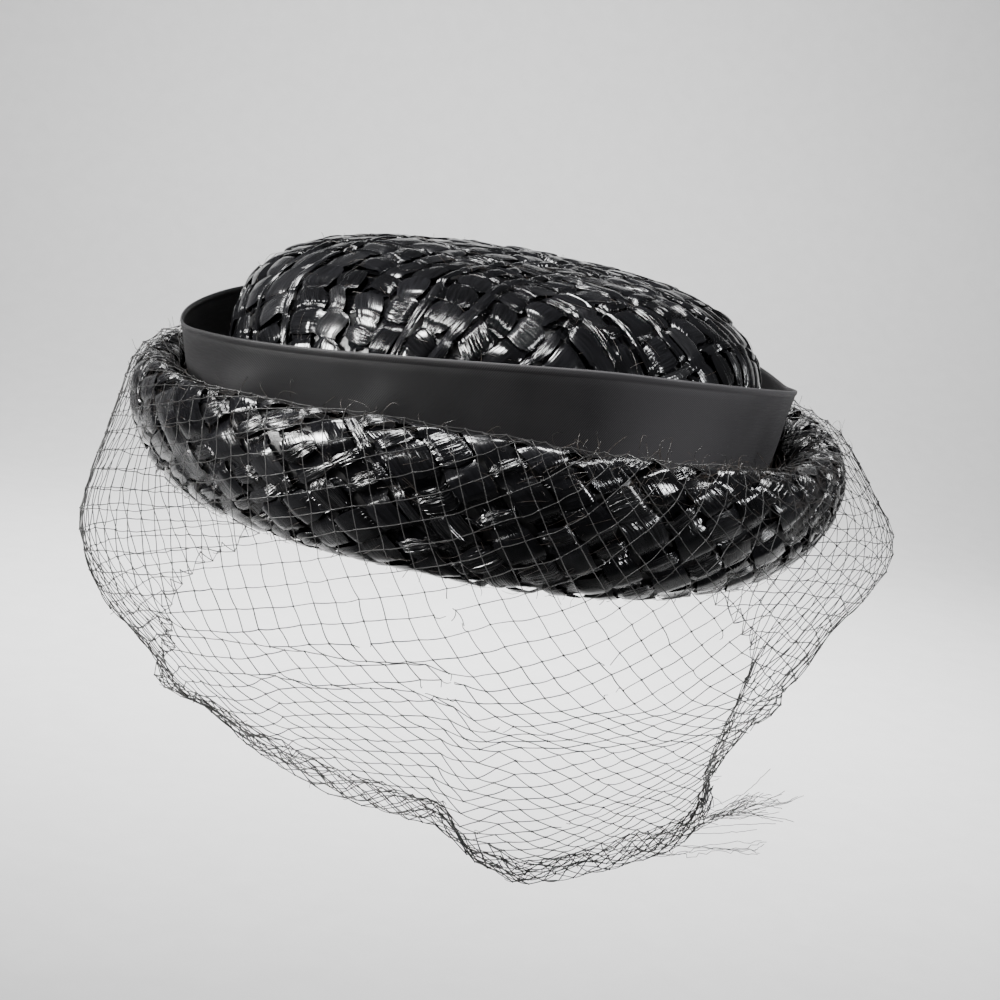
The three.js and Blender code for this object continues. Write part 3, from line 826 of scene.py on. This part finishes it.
# ------------------------------------------------------------------ ribbon band
def band_mesh():
    cols = 540
    at = np.linspace(-180, 180, cols, endpoint=False)
    s, c = np.sin(np.radians(at)), np.cos(np.radians(at))
    top = flow(BAND_TOP, at)
    g = np.random.default_rng(5)

    def calm(z_share):
        """The stitched top edge holds the cloth even."""
        x = np.clip((z_share - 0.72) / 0.28, 0, 1)
        return 1 - 0.85 * x * x * (3 - 2 * x)

    def bulge(up, z_share):
        """Soft unevenness of the cloth, in mm: long slanting pulls and a few dents."""
        a = np.radians(at)
        out = 0.30 * np.sin(5 * a + 3.0 * z_share + 0.6) * z_share * (1.15 - z_share)
        out += 0.22 * np.sin(11 * a - 5.0 * z_share + 2.1) * z_share * (1.2 - z_share)
        out += 1.3 * np.exp(-((at + 57 - 9 * z_share) / 5.5) ** 2 - ((z_share - 0.62) / 0.18) ** 2)
        out -= 1.2 * np.exp(-((at + 47 - 6 * z_share) / 5.0) ** 2 - ((z_share - 0.5) / 0.20) ** 2)
        out += 0.8 * np.exp(-((at + 33 - 14 * z_share) / 3.5) ** 2 - ((z_share - 0.55) / 0.3) ** 2)
        out -= 0.4 * np.exp(-((at - 70) / 6.0) ** 2 - ((z_share - 0.80) / 0.12) ** 2)
        return out * calm(z_share)

    def ring(share, inset):
        k = np.interp(share, [0, 0.35, 0.68, 1.0], np.arange(4))
        i = min(int(k), 2)
        f = k - i
        left, right, front = [BAND[i, m] * (1 - f) + BAND[i + 1, m] * f for m in range(3)]
        out = folds(BAND_FOLDS[1:], at) * share ** 1.5 * calm(share) + bulge(share, share) - inset
        out = out - 1.3 * np.exp(-((at - 84) / 9.0) ** 2) * share ** 2        # the corner is soft on the right
        x = (np.where(s > 0, right, left) + out) * s
        y = -(front + out) * c
        z = BAND_FOOT + share * (top - BAND_FOOT)
        return np.stack([x, y, z], -1)

    height = float((top - BAND_FOOT).mean())
    hem = 1.7 / height          # the turned-over strip along the top edge
    # the middle list holds the painted light of each row
    rows, painted_light, across = [], [], []

    def add(share, inset, w, u):
        rows.append(ring(share, inset))
        painted_light.append(w)
        across.append(u)

    # the third value of each row is painted light: the hem is painted paler, and the lines further down keep this
    # mostly towards the right end, where the light falls
    add(0.0, 0.25, 0.0, 0.0)
    for share in np.linspace(0.02, 1 - hem - 0.012, 26):
        add(share, 0.25, 0.0, share * height)
    add(1 - hem - 0.004, 0.36, 0.0, (1 - hem) * height)       # stitched-in groove
    add(1 - hem + 0.003, 0.16, 0.75, (1 - hem) * height + 0.3)
    add(1 - hem * 0.66, 0.06, 0.9, (1 - hem * 0.66) * height)
    add(1 - hem * 0.30, 0.08, 1.0, (1 - hem * 0.3) * height)
    add(1 - hem * 0.05, 0.22, 1.0, height)
    add(1.0, 0.55, 1.0, height + 0.6)
    add(1 - hem * 0.05, 0.88, 0.8, height + 1.1)
    add(1 - hem * 0.6, 1.12, 0.5, height + 2.0)
    add(1 - hem, 1.02, 0.2, height + 3.0)
    for share in np.linspace(1 - hem - 0.02, 0.02, 16):
        add(share, 1.05, 0.0, height * 2 + 3 - share * height)
    add(0.0, 1.05, 0.0, height * 2 + 3)
    p = np.array(rows)
    r = len(rows)
    girth = 616.0
    # one extra column closes the seam with its own texture place
    p = np.concatenate([p, p[:, :1]], 1)
    u = np.linspace(0, girth, cols + 1)[None, :].repeat(r, 0)
    v = np.array(across)[:, None].repeat(cols + 1, 1)
    w = np.array(painted_light)[:, None].repeat(cols + 1, 1)
    # painted light: the cloth is painted paler towards the right end, where the light falls, with a painted highlight
    # along the fold at the right corner
    a_col = np.append(at, 180.0)
    w = w * np.clip(0.5 + 0.5 * np.cos(np.radians(a_col - 78)), 0.12, 1)[None, :]
    w = w + 1.3 * np.exp(-((a_col - 28) / 24) ** 2)[None, :]
    w = w + 0.70 * np.exp(-((a_col - 72) / 18) ** 2)[None, :] + 0.3 * np.exp(-((a_col - 84) / 2.2) ** 2)[None, :]
    n = cols + 1
    faces = grid_faces(r, n)
    k = np.arange(n - 1)
    seam = np.stack([(r - 1) * n + k, (r - 1) * n + k + 1, k + 1, k], -1)
    # the columns at the seam share their points, so the wall is closed
    idx = np.arange(r * n).reshape(r, n)
    idx[:, -1] = idx[:, 0]
    flat = idx.ravel()
    all_faces = np.concatenate([faces, seam])
    verts = p.reshape(-1, 3)
    uv = np.stack([u, v], -1).reshape(-1, 2)
    me_faces = flat[all_faces]
    used, inverse = np.unique(me_faces, return_inverse=True)
    # the painted light goes to the material as a point attribute
    obj = make("band_ribbon", verts[used], inverse.reshape(-1, 4), ribbon_material(), None, {"painted_light": w.reshape(-1)[used]})
    layer = obj.data.uv_layers.new(name="UVMap")
    layer.data.foreach_set("uv", uv[all_faces.ravel()].astype(np.float32).ravel())
    return obj, girth, height


band, band_girth, band_height = band_mesh()
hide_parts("band")


# ------------------------------------------------------------------ net veil
THREAD = 0.140       # radius of a thread
SIDE = 6.2          # side of one mesh


def tubes(a, b, bow, radius, sides=3, steps=3):
    """Thin tubes from points a to points b that bow sideways by bow."""
    n = len(a)
    t = np.linspace(0, 1, steps + 1)
    line = a[:, None] * (1 - t[None, :, None]) + b[:, None] * t[None, :, None]
    line = line + bow[:, None] * (4 * t * (1 - t))[None, :, None]
    d = b - a
    d /= np.maximum(np.linalg.norm(d, axis=1, keepdims=True), 1e-9)
    ref = np.where(np.abs(d[:, 2:3]) < 0.8, [[0.0, 0.0, 1.0]], [[1.0, 0.0, 0.0]])
    e1 = np.cross(d, ref)
    e1 /= np.linalg.norm(e1, axis=1, keepdims=True)
    e2 = np.cross(d, e1)
    ang = np.arange(sides) * 2 * np.pi / sides
    ringv = e1[:, None] * np.cos(ang)[None, :, None] + e2[:, None] * np.sin(ang)[None, :, None]
    r = np.broadcast_to(np.asarray(radius, float).reshape(-1, 1, 1, 1), (n, 1, 1, 1))
    verts = line[:, :, None] + ringv[:, None] * r
    k = steps + 1
    s, m = np.meshgrid(np.arange(steps), np.arange(sides), indexing="ij")
    nx = (m + 1) % sides
    quad = np.stack([s * sides + m, s * sides + nx, (s + 1) * sides + nx, (s + 1) * sides + m], -1).reshape(-1, 4)
    faces = (quad[None] + (np.arange(n) * k * sides)[:, None, None]).reshape(-1, 4)
    return verts.reshape(-1, 3), faces


def knots(points, size):
    """A small double cone on each point."""
    n = len(points)
    unit = np.array([(1, 0, 0), (-1, 0, 0), (0, 1, 0), (0, -1, 0), (0, 0, 1), (0, 0, -1)], float)
    tri = np.array([(0, 2, 4), (2, 1, 4), (1, 3, 4), (3, 0, 4), (2, 0, 5), (1, 2, 5), (3, 1, 5), (0, 3, 5)])
    verts = points[:, None] + unit[None] * size.reshape(-1, 1, 1)
    faces = (tri[None] + (np.arange(n) * 6)[:, None, None]).reshape(-1, 3)
    return verts.reshape(-1, 3), faces


def smooth(x):
    x = np.clip(x, 0, 1)
    return x * x * (3 - 2 * x)


def veil_net():
    g = np.random.default_rng(21)
    ni, nj = 100, 90
    i_at, j_at = np.arange(-ni, ni + 1), np.arange(-nj, nj + 1)
    # square meshes that lie level on the left and stand on a corner on the right, as the net was pulled
    rise = np.radians(np.interp(i_at, [-60, -6, -2, 2, 6, 10, 14, 20, 60], [12, 14, 20, 28, 38, 48, 58, 68, 72]))
    fall = np.radians(np.interp(j_at, [-60, -10, -4, 0, 4, 8, 14, 60], [72, 70, 64, 52, 40, 31, 24, 18]))
    ax, az = np.cumsum(np.cos(rise)) * SIDE, np.cumsum(np.sin(rise)) * SIDE
    bx, bz = np.cumsum(np.cos(fall)) * SIDE, np.cumsum(np.sin(fall)) * SIDE
    ax, az, bx, bz = ax - ax[ni], az - az[ni], bx - bx[nj], bz - bz[nj]
    X = ax[:, None] + bx[None, :]
    S = bz[None, :] - az[:, None] + 62.0
    wide = 800.0
    keep = (np.abs(X) < wide / 2 + 3) & (S > -1)
    at = X / wide * 360.0 + 3.0
    at = (at + 180.0) % 360.0 - 180.0
    full = veil_s.long(at)

    def window(lo, hi, soft):
        return smooth((at - lo) / soft) * smooth((hi - at) / soft)

    # shallow folds into which the net has slipped: a broad one right of the middle, two sharp ones on the left
    right_w, left_w, low_w = window(-6, 60, 10), window(-56, -1, 7), window(-36, 0, 7)
    sway = 2.0 * np.sin(np.radians(at * 7)) + 1.2 * np.sin(np.radians(at * 15 + 40))
    squeeze = (12.0 * right_w * smooth((S - 84 - 0.6 * sway) / 28) + 4.5 * left_w * smooth((S - 82 - sway) / 6)
               + 4.0 * low_w * smooth((S - 96 - sway) / 4))
    squeeze_all = 12.0 * right_w + 4.5 * left_w + 4.0 * low_w
    # the net is cut to one width; what is longer than the drop is gathered at the hem in layers
    rope = window(-72, 66, 12)
    bunch = 5.5 + 3.0 * rope
    spare = 7.0 + 20.0 * rope
    cut = full + squeeze_all + spare
    keep &= S < cut
    q = S - squeeze
    start = full - bunch
    over = np.clip(q - start, 0, None)
    turns = over / bunch
    u = np.clip(over / (bunch + spare), 0, 1)
    shape = X.shape
    coarse = soft_noise((4,) + shape, (shape[0] // 5, shape[1] // 5), g)
    fine = soft_noise((3,) + shape, (shape[0] // 2, shape[1] // 2), g)
    fold = np.where(turns < 0.5, turns, 0.5 - 0.5 * np.cos(np.pi * turns))
    fold = fold * (1 - 0.35 * smooth(turns - 0.8) * (0.5 + 0.5 * coarse[0]))
    q = np.where(over > 0, start + bunch * fold, q)
    v = q / full
    in_bunch = smooth(turns / 1.2)
    free = np.clip((S - 34) / 30, 0, 1)
    jitter = g.normal(0, 1, shape + (3,))
    at2 = at + (0.15 + 0.35 * free) * fine[0] + 0.05 * jitter[..., 0] + in_bunch * (0.3 + 0.7 * rope) * (1.3 * coarse[1] + 0.5 * fine[0])
    v2 = v + (0.0015 + 0.0028 * free) * fine[1] + 0.0008 * jitter[..., 1] + in_bunch * 0.010 * coarse[2]
    lift = (0.10 + 0.7 * free) * fine[2] + 0.10 * jitter[..., 2]
    lift += in_bunch * (0.3 + 0.7 * rope) * (1.7 * np.sin(np.pi * turns + 2.0 * coarse[3]) + 1.0 * coarse[1])
    lift += 1.6 * right_w * np.sin((S - 84) / 4.2) * smooth((S - 84) / 8) * smooth((116 - S) / 8)
    lift += 1.2 * left_w * np.sin((S - 82) / 3) * np.exp(-((S - 85) / 6) ** 2)
    lift += free * 1.1 * np.sin(S / 13 + np.radians(at) * 5)
    lift = np.maximum(lift, np.where(S < 34, 0.12, -9))
    P = veil_s.at(at2, np.clip(v2, 0, 1.0), lift)
    P[..., 2] -= in_bunch * (0.3 + 0.7 * rope) * (0.9 + 1.1 * coarse[2])
    # threads along i and along j
    edges = []
    for axis in (0, 1):
        k0 = keep[:-1] & keep[1:] if axis == 0 else keep[:, :-1] & keep[:, 1:]
        idx = np.arange(keep.size).reshape(keep.shape)
        e0 = (idx[:-1] if axis == 0 else idx[:, :-1])[k0]
        e1 = (idx[1:] if axis == 0 else idx[:, 1:])[k0]
        edges.append(np.stack([e0, e1], -1))
    edges = np.concatenate(edges)
    flat = P.reshape(-1, 3)
    length = np.linalg.norm(flat[edges[:, 0]] - flat[edges[:, 1]], axis=1)
    edges = edges[length < 2.6 * SIDE]
    mid = (flat[edges[:, 0]] + flat[edges[:, 1]]) / 2
    # torn places near the front, and a few stray breaks
    torn = g.random(len(edges)) < 0.003
    for x, y, z, r, share in ((-13.0, -131.0, -4.0, 5.2, 0.9), (-12.0, -131.0, -24.0, 4.4, 0.6), (-17.0, -130.0, -27.0, 3.2, 0.5),
                              (-36.0, -126.0, -24.0, 3.0, 0.5), (30.0, -125.0, -21.0, 3.4, 0.5), (60.0, -112.0, -8.0, 3.6, 0.5)):
        near = np.linalg.norm(mid - [x, y, z], axis=1) < r
        torn |= near & (g.random(len(edges)) < share)
    whole, broken = edges[~torn], edges[torn]
    return flat, whole, mid[~torn], broken, keep.reshape(-1), at.reshape(-1), S.reshape(-1), u.reshape(-1), g


flat, whole, whole_mid, broken, kept, node_at, node_s, node_b, g = veil_net()
net = net_material()


def thread_piece(name, pairs, extra=None):
    a, b = flat[pairs[:, 0]], flat[pairs[:, 1]]
    bow = g.normal(0, 0.13, (len(pairs), 3)) + np.array([0, 0, -0.14])
    slack = np.interp((a[:, 2] + b[:, 2]) / 2, [-16, 4], [1.26, 0.94])       # drawn thin over the roll, fuller where it hangs
    v, f = tubes(a, b, bow, THREAD * slack * g.uniform(0.88, 1.12, len(pairs)))
    if extra:
        for ve, fe in extra:
            f = np.concatenate([f, fe + len(v)])
            v = np.concatenate([v, ve])
    obj = make(name, v, f, net)
    return obj


def strands(lines, radius):
    """Wandering loose threads, each a polyline of the same number of points."""
    lines = np.asarray(lines, float)
    a, b = lines[:, :-1].reshape(-1, 3), lines[:, 1:].reshape(-1, 3)
    return tubes(a, b, np.zeros_like(a), radius, steps=1)


def frayed_end():
    """The cut end of the drawn hem, low on the right: a loose bundle that opens into single threads."""
    g = np.random.default_rng(77)
    spine = through([(50, -99, -72.5), (58, -95, -71), (66, -90, -69), (74, -85.5, -66.5), (82, -80, -64)], 25)
    low = through([(46, -101, -76), (58, -96, -76), (68, -91, -77), (80, -85, -77.5), (88, -80, -79)], 25)
    tips = [(106, -60, -66), (105, -61, -71), (103, -63, -75), (90, -72, -55), (97, -68, -60), (101, -64, -67), (94, -70, -71),
            (88, -75, -61), (99, -66, -63), (92, -70, -58)]
    out = []
    for k in range(9):              # threads that run along the bundle
        wander = np.cumsum(g.normal(0, 0.34, (25, 3)), 0)
        out.append(spine + g.normal(0, 0.8, 3) + wander - wander.mean(0))
    for k in range(5):
        wander = np.cumsum(g.normal(0, 0.45, (25, 3)), 0)
        out.append(low + g.normal(0, 1.0, 3) + wander - wander.mean(0))
    for k in range(26):             # threads that leave it
        a = spine[g.integers(10, 25)] + g.normal(0, 0.8, 3)
        b = np.array(tips[g.integers(len(tips))]) + g.normal(0, 2.2, 3)
        c = (a + b) / 2 + g.normal(0, 2.0, 3)
        t = np.linspace(0, g.uniform(0.45, 1.0), 25)[:, None]
        line = (1 - t) ** 2 * a + 2 * t * (1 - t) * c + t ** 2 * b
        out.append(line + 0.10 * np.cumsum(g.normal(0, 1, (25, 3)), 0))
    return strands(out, THREAD * 0.8)


front = whole_mid[:, 1] < 0
ends = [frayed_end()]
# broken threads: two short ends that hang loose
if len(broken):
    a, b = flat[broken[:, 0]], flat[broken[:, 1]]
    for p, q in ((a, b), (b, a)):
        d = (q - p) * g.uniform(0.15, 0.55, (len(p), 1)) + g.normal(0, 0.6, p.shape)
        tip = p + d
        tip[:, 2] -= g.uniform(0.2, 1.2, len(p))
        ends.append(tubes(p, tip, g.normal(0, 0.45, p.shape), np.full(len(p), THREAD)))
# cut ends and wisps along the hem, more of them low on the right
hem_nodes = np.flatnonzero(kept & (node_b > 0.55))
right = hem_nodes[(node_at[hem_nodes] > 42) & (node_at[hem_nodes] < 76)]
pick = np.concatenate([g.choice(hem_nodes, 90, replace=False), g.choice(right, min(40, len(right)), replace=False)])
start = flat[pick]
away = start * [1, 1, 0]
away /= np.linalg.norm(away, axis=1, keepdims=True)
side = np.stack([-away[:, 1], away[:, 0], np.zeros(len(away))], -1)
many = np.arange(len(pick)) >= 90
size = np.where(many, g.uniform(3, 9, len(pick)), g.uniform(1.5, 4.5, len(pick)))[:, None]
tip = start + size * (away * g.uniform(-0.1, 0.45, (len(pick), 1)) + side * g.uniform(-0.8, 0.9, (len(pick), 1))
                      + np.array([0, 0, 1.0]) * g.uniform(-0.3, 0.3, (len(pick), 1)))
ends.append(tubes(start, tip, g.normal(0, 0.7, start.shape) * size * 0.12, np.full(len(pick), THREAD * 0.8), steps=4))
veil_front = thread_piece("veil_net_front", whole[front], ends)
veil_back = thread_piece("veil_net_back", whole[~front])
used_nodes = np.unique(whole)
kv, kf = knots(flat[used_nodes], g.uniform(0.28, 0.42, len(used_nodes)))
veil_knots = make("veil_knots", kv, kf, net)
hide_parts("veil")


# ------------------------------------------------------------------ loose straw ends
def wisps():
    g = np.random.default_rng(41)
    parts_v, parts_f, count = [], [], 0

    def put(ve, fe):
        nonlocal count
        parts_v.append(ve)
        parts_f.append(fe + count)
        count += len(ve)

    def add(at, v, n_lift, direction, length, radius, curl=0.16):
        p = brim_s.at(at, v, n_lift)
        out = brim_s.pick(brim_s.nrm, at, v)
        tang = np.stack([np.cos(np.radians(at)), np.sin(np.radians(at)), np.zeros_like(at)], -1)
        d = out * direction[:, :1] + tang * direction[:, 1:2] + np.array([0, 0, 1.0]) * direction[:, 2:3]
        d /= np.linalg.norm(d, axis=1, keepdims=True)
        put(*tubes(p, p + d * length[:, None], g.normal(0, curl, p.shape) * length[:, None], radius, steps=5))

    n = 340      # along the crest of the roll
    add(g.uniform(-180, 180, n), g.uniform(0.60, 0.86, n), np.full(n, 0.3),
        np.stack([g.uniform(0.05, 0.5, n), g.uniform(-1, 1, n), g.uniform(-0.2, 0.4, n)], -1),
        g.uniform(2.5, 7.5, n), g.uniform(0.045, 0.085, n), 0.22)
    n = 130      # a tangle on the crest, right of the middle
    add(g.uniform(4, 62, n), g.uniform(0.66, 0.84, n), np.full(n, 0.3),
        np.stack([g.uniform(0.10, 0.6, n), g.uniform(-1, 1, n), g.uniform(0.0, 0.5, n)], -1),
        g.uniform(3.5, 8.0, n), g.uniform(0.045, 0.08, n), 0.30)
    n = 110      # under the edge of the brim
    add(g.uniform(-180, 180, n), g.uniform(0.14, 0.30, n), np.full(n, 0.1),
        np.stack([g.uniform(0.3, 0.8, n), g.uniform(-1, 1, n), g.uniform(-0.6, 0.1, n)], -1),
        g.uniform(1.2, 3.6, n), g.uniform(0.06, 0.13, n))

    # split strands that lie along the strips
    n = 900
    at, v = g.uniform(-180, 180, n), g.uniform(0.16, 0.88, n)
    up = g.random(n) < 0.72
    far = g.uniform(3.5, 10.0, n)
    tilt = np.where(up, np.radians(29 + g.normal(0, 9, n)), -np.radians(45 + g.normal(0, 9, n)))
    d_at = far * np.cos(tilt) / ROUND * 360
    d_v = -far * np.sin(tilt) / brim_long * -1
    p, q = brim_s.at(at, v, g.uniform(0.4, 1.0, n)), brim_s.at(at + d_at, np.clip(v + d_v, 0.05, 0.98), g.uniform(0.4, 1.3, n))
    put(*tubes(p, q, g.normal(0, 0.05, p.shape) * far[:, None] + 0.3 * brim_s.pick(brim_s.nrm, at, v),
               g.uniform(0.045, 0.085, n), steps=4))
    n = 420
    a, r = g.uniform(-180, 180, n), np.sqrt(g.uniform(0.02, 0.74, n))
    far = g.uniform(3.0, 8.0, n)
    turn = g.normal(0, 0.35, n) + np.where(g.random(n) < 0.35, np.pi / 2, 0)
    d_r, d_a = far * np.cos(turn) / crown_long, np.degrees(far * np.sin(turn) / np.maximum(r * 88, 12))
    p = crown_s.at(a, r, g.uniform(0.3, 0.9, n))
    q = crown_s.at(a + d_a, np.clip(r + d_r, 0.01, 0.88), g.uniform(0.3, 1.1, n))
    put(*tubes(p, q, g.normal(0, 0.05, p.shape) * far[:, None] + 0.3 * crown_s.pick(crown_s.nrm, a, r),
               g.uniform(0.045, 0.08, n), steps=4))
    n = 60       # short ends that stand up from the crown
    a, r = g.uniform(-180, 180, n), np.sqrt(g.uniform(0.0, 0.7, n))
    p = crown_s.at(a, r, np.full(n, 0.3))
    q = crown_s.at(a + g.normal(0, 2, n), r, g.uniform(1.0, 2.3, n)) + g.normal(0, 0.8, (n, 3))
    put(*tubes(p, q, g.normal(0, 0.3, p.shape), g.uniform(0.05, 0.09, n), steps=4))
    return make("straw_wisps", np.concatenate(parts_v), np.concatenate(parts_f), fibre_material())


loose = wisps()


# ------------------------------------------------------------------ studio
def stage_material():
    mat, nt, bsdf = new_material("paper_floor")
    coord = nt.nodes.new("ShaderNodeTexCoord")
    n = node(nt, "ShaderNodeTexNoise", Scale=60.0, Detail=3.0)
    link(nt, coord.outputs["Object"], n.inputs["Vector"])
    col = ramp(nt, n.outputs["Fac"], [(0.3, (0.62, 0.62, 0.62)), (0.7, (0.65, 0.65, 0.65))])
    link(nt, col.outputs[0], bsdf.inputs["Base Color"])
    bsdf.inputs["Roughness"].default_value = 0.9
    return mat


FLOOR = -0.26
profile = [(-2.2, FLOOR), (1.15, FLOOR)]
for k in range(1, 17):
    a = math.radians(90 * k / 16)
    profile.append((1.15 + 0.62 * math.sin(a), FLOOR + 0.62 * (1 - math.cos(a))))
profile.append((1.77, FLOOR + 0.72))
verts = [(x, y, z) for y, z in profile for x in (-3.0, 3.0)]
faces = [(2 * k, 2 * k + 1, 2 * k + 3, 2 * k + 2) for k in range(len(profile) - 1)]
me = bpy.data.meshes.new("studio_floor")
me.from_pydata(verts, [], faces)
me.polygons.foreach_set("use_smooth", [True] * len(faces))
floor = bpy.data.objects.new("studio_floor", me)
bpy.context.scene.collection.objects.link(floor)
me.materials.append(stage_material())
floor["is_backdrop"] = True

world = bpy.data.worlds.new("studio")
bpy.context.scene.world = world
world.use_nodes = True
world.node_tree.nodes["Background"].inputs[0].default_value = (0.95, 0.97, 1.0, 1)
world.node_tree.nodes["Background"].inputs[1].default_value = 0.05


def softbox(name, at, aim, size, power, colour=(1, 1, 1), spread=180):
    data = bpy.data.lights.new(name, "AREA")
    data.shape = "RECTANGLE"
    data.spread = math.radians(spread)
    data.size, data.size_y = size
    data.energy = power
    data.color = colour
    obj = bpy.data.objects.new(name, data)
    bpy.context.scene.collection.objects.link(obj)
    obj.location = at
    obj.rotation_mode = "QUATERNION"
    obj.rotation_quaternion = (Vector(aim) - Vector(at)).to_track_quat("-Z", "Y")
    return obj


# the lamps on the hat light the hat only, so the floor in front stays quiet in the gloss of the straw
hat_only, roll_only, floor_only = [bpy.data.collections.new(name) for name in ("hat_only", "roll_only", "floor_only")]
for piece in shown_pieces():
    hat_only.objects.link(piece)
    if piece.name.startswith("brim"):
        roll_only.objects.link(piece)
floor_only.objects.link(floor)
for lamp, lit in (
        (softbox("window_left", (-1.50, -0.42, 0.50), (0, 0, 0.02), (0.42, 0.80), 5.0, (1.0, 0.995, 0.98), spread=27), hat_only),
        (softbox("window_front", (-1.05, -1.25, 0.62), (0, 0, 0.0), (0.34, 0.34), 0.25, (1.0, 1.0, 1.0), spread=25), hat_only),
        (softbox("window_high", (-0.38, -0.02, 1.40), (0, 0, 0.04), (0.55, 0.34), 1.7, (1.0, 1.0, 1.0), spread=28), hat_only),
        (softbox("window_over", (0.44, 0.60, 1.10), (0.03, 0, 0.03), (0.22, 0.86), 3.4, (1.0, 1.0, 1.0), spread=64), roll_only),
        (softbox("window_over_left", (-0.34, 0.62, 1.17), (-0.02, 0, 0.03), (0.30, 0.80), 4.2, (1.0, 1.0, 1.0), spread=64), roll_only),
        (softbox("lamp_right", (1.25, -0.70, 0.65), (0, 0, 0.0), (0.25, 0.5), 1.2, (0.97, 0.98, 1.0), spread=30), hat_only),
        (softbox("floor_lamp", (0.05, 0.64, 1.6), (0.05, 0.64, -0.26), (1.0, 0.9), 12.5, (1.0, 1.0, 1.0), spread=36), floor_only),
        (softbox("backdrop", (0.12, 0.60, 1.9), (0.12, 1.70, 0.0), (0.9, 0.5), 17, (1.0, 1.0, 1.0), spread=72), floor_only)):
    lamp.light_linking.receiver_collection = lit

# ------------------------------------------------------------------ camera
AZ, EL, ROLL = math.radians(-5.75), math.radians(11.4), math.radians(7.3)
back = Vector((math.sin(AZ) * math.cos(EL), -math.cos(AZ) * math.cos(EL), math.sin(EL)))
target = Vector((0.0072, 0.0, -0.0005))
data = bpy.data.cameras.new("camera")
data.sensor_width = 36.0
data.lens = 72.0
data.clip_start, data.clip_end = 0.02, 20
camera = bpy.data.objects.new("camera", data)
bpy.context.scene.collection.objects.link(camera)
camera.location = target + back * 0.634
right = (-back).cross(Vector((0, 0, 1))).normalized()
up = right.cross(-back)
r2 = right * math.cos(ROLL) + up * math.sin(ROLL)
u2 = -right * math.sin(ROLL) + up * math.cos(ROLL)
camera.rotation_mode = "QUATERNION"
camera.rotation_quaternion = Matrix((r2, u2, back)).transposed().to_quaternion()
bpy.context.scene.camera = camera

counts = {o.name: sum(len(p.vertices) - 2 for p in o.data.polygons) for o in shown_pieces() if o.type == "MESH"}
print("triangles", counts, "all", sum(counts.values()))
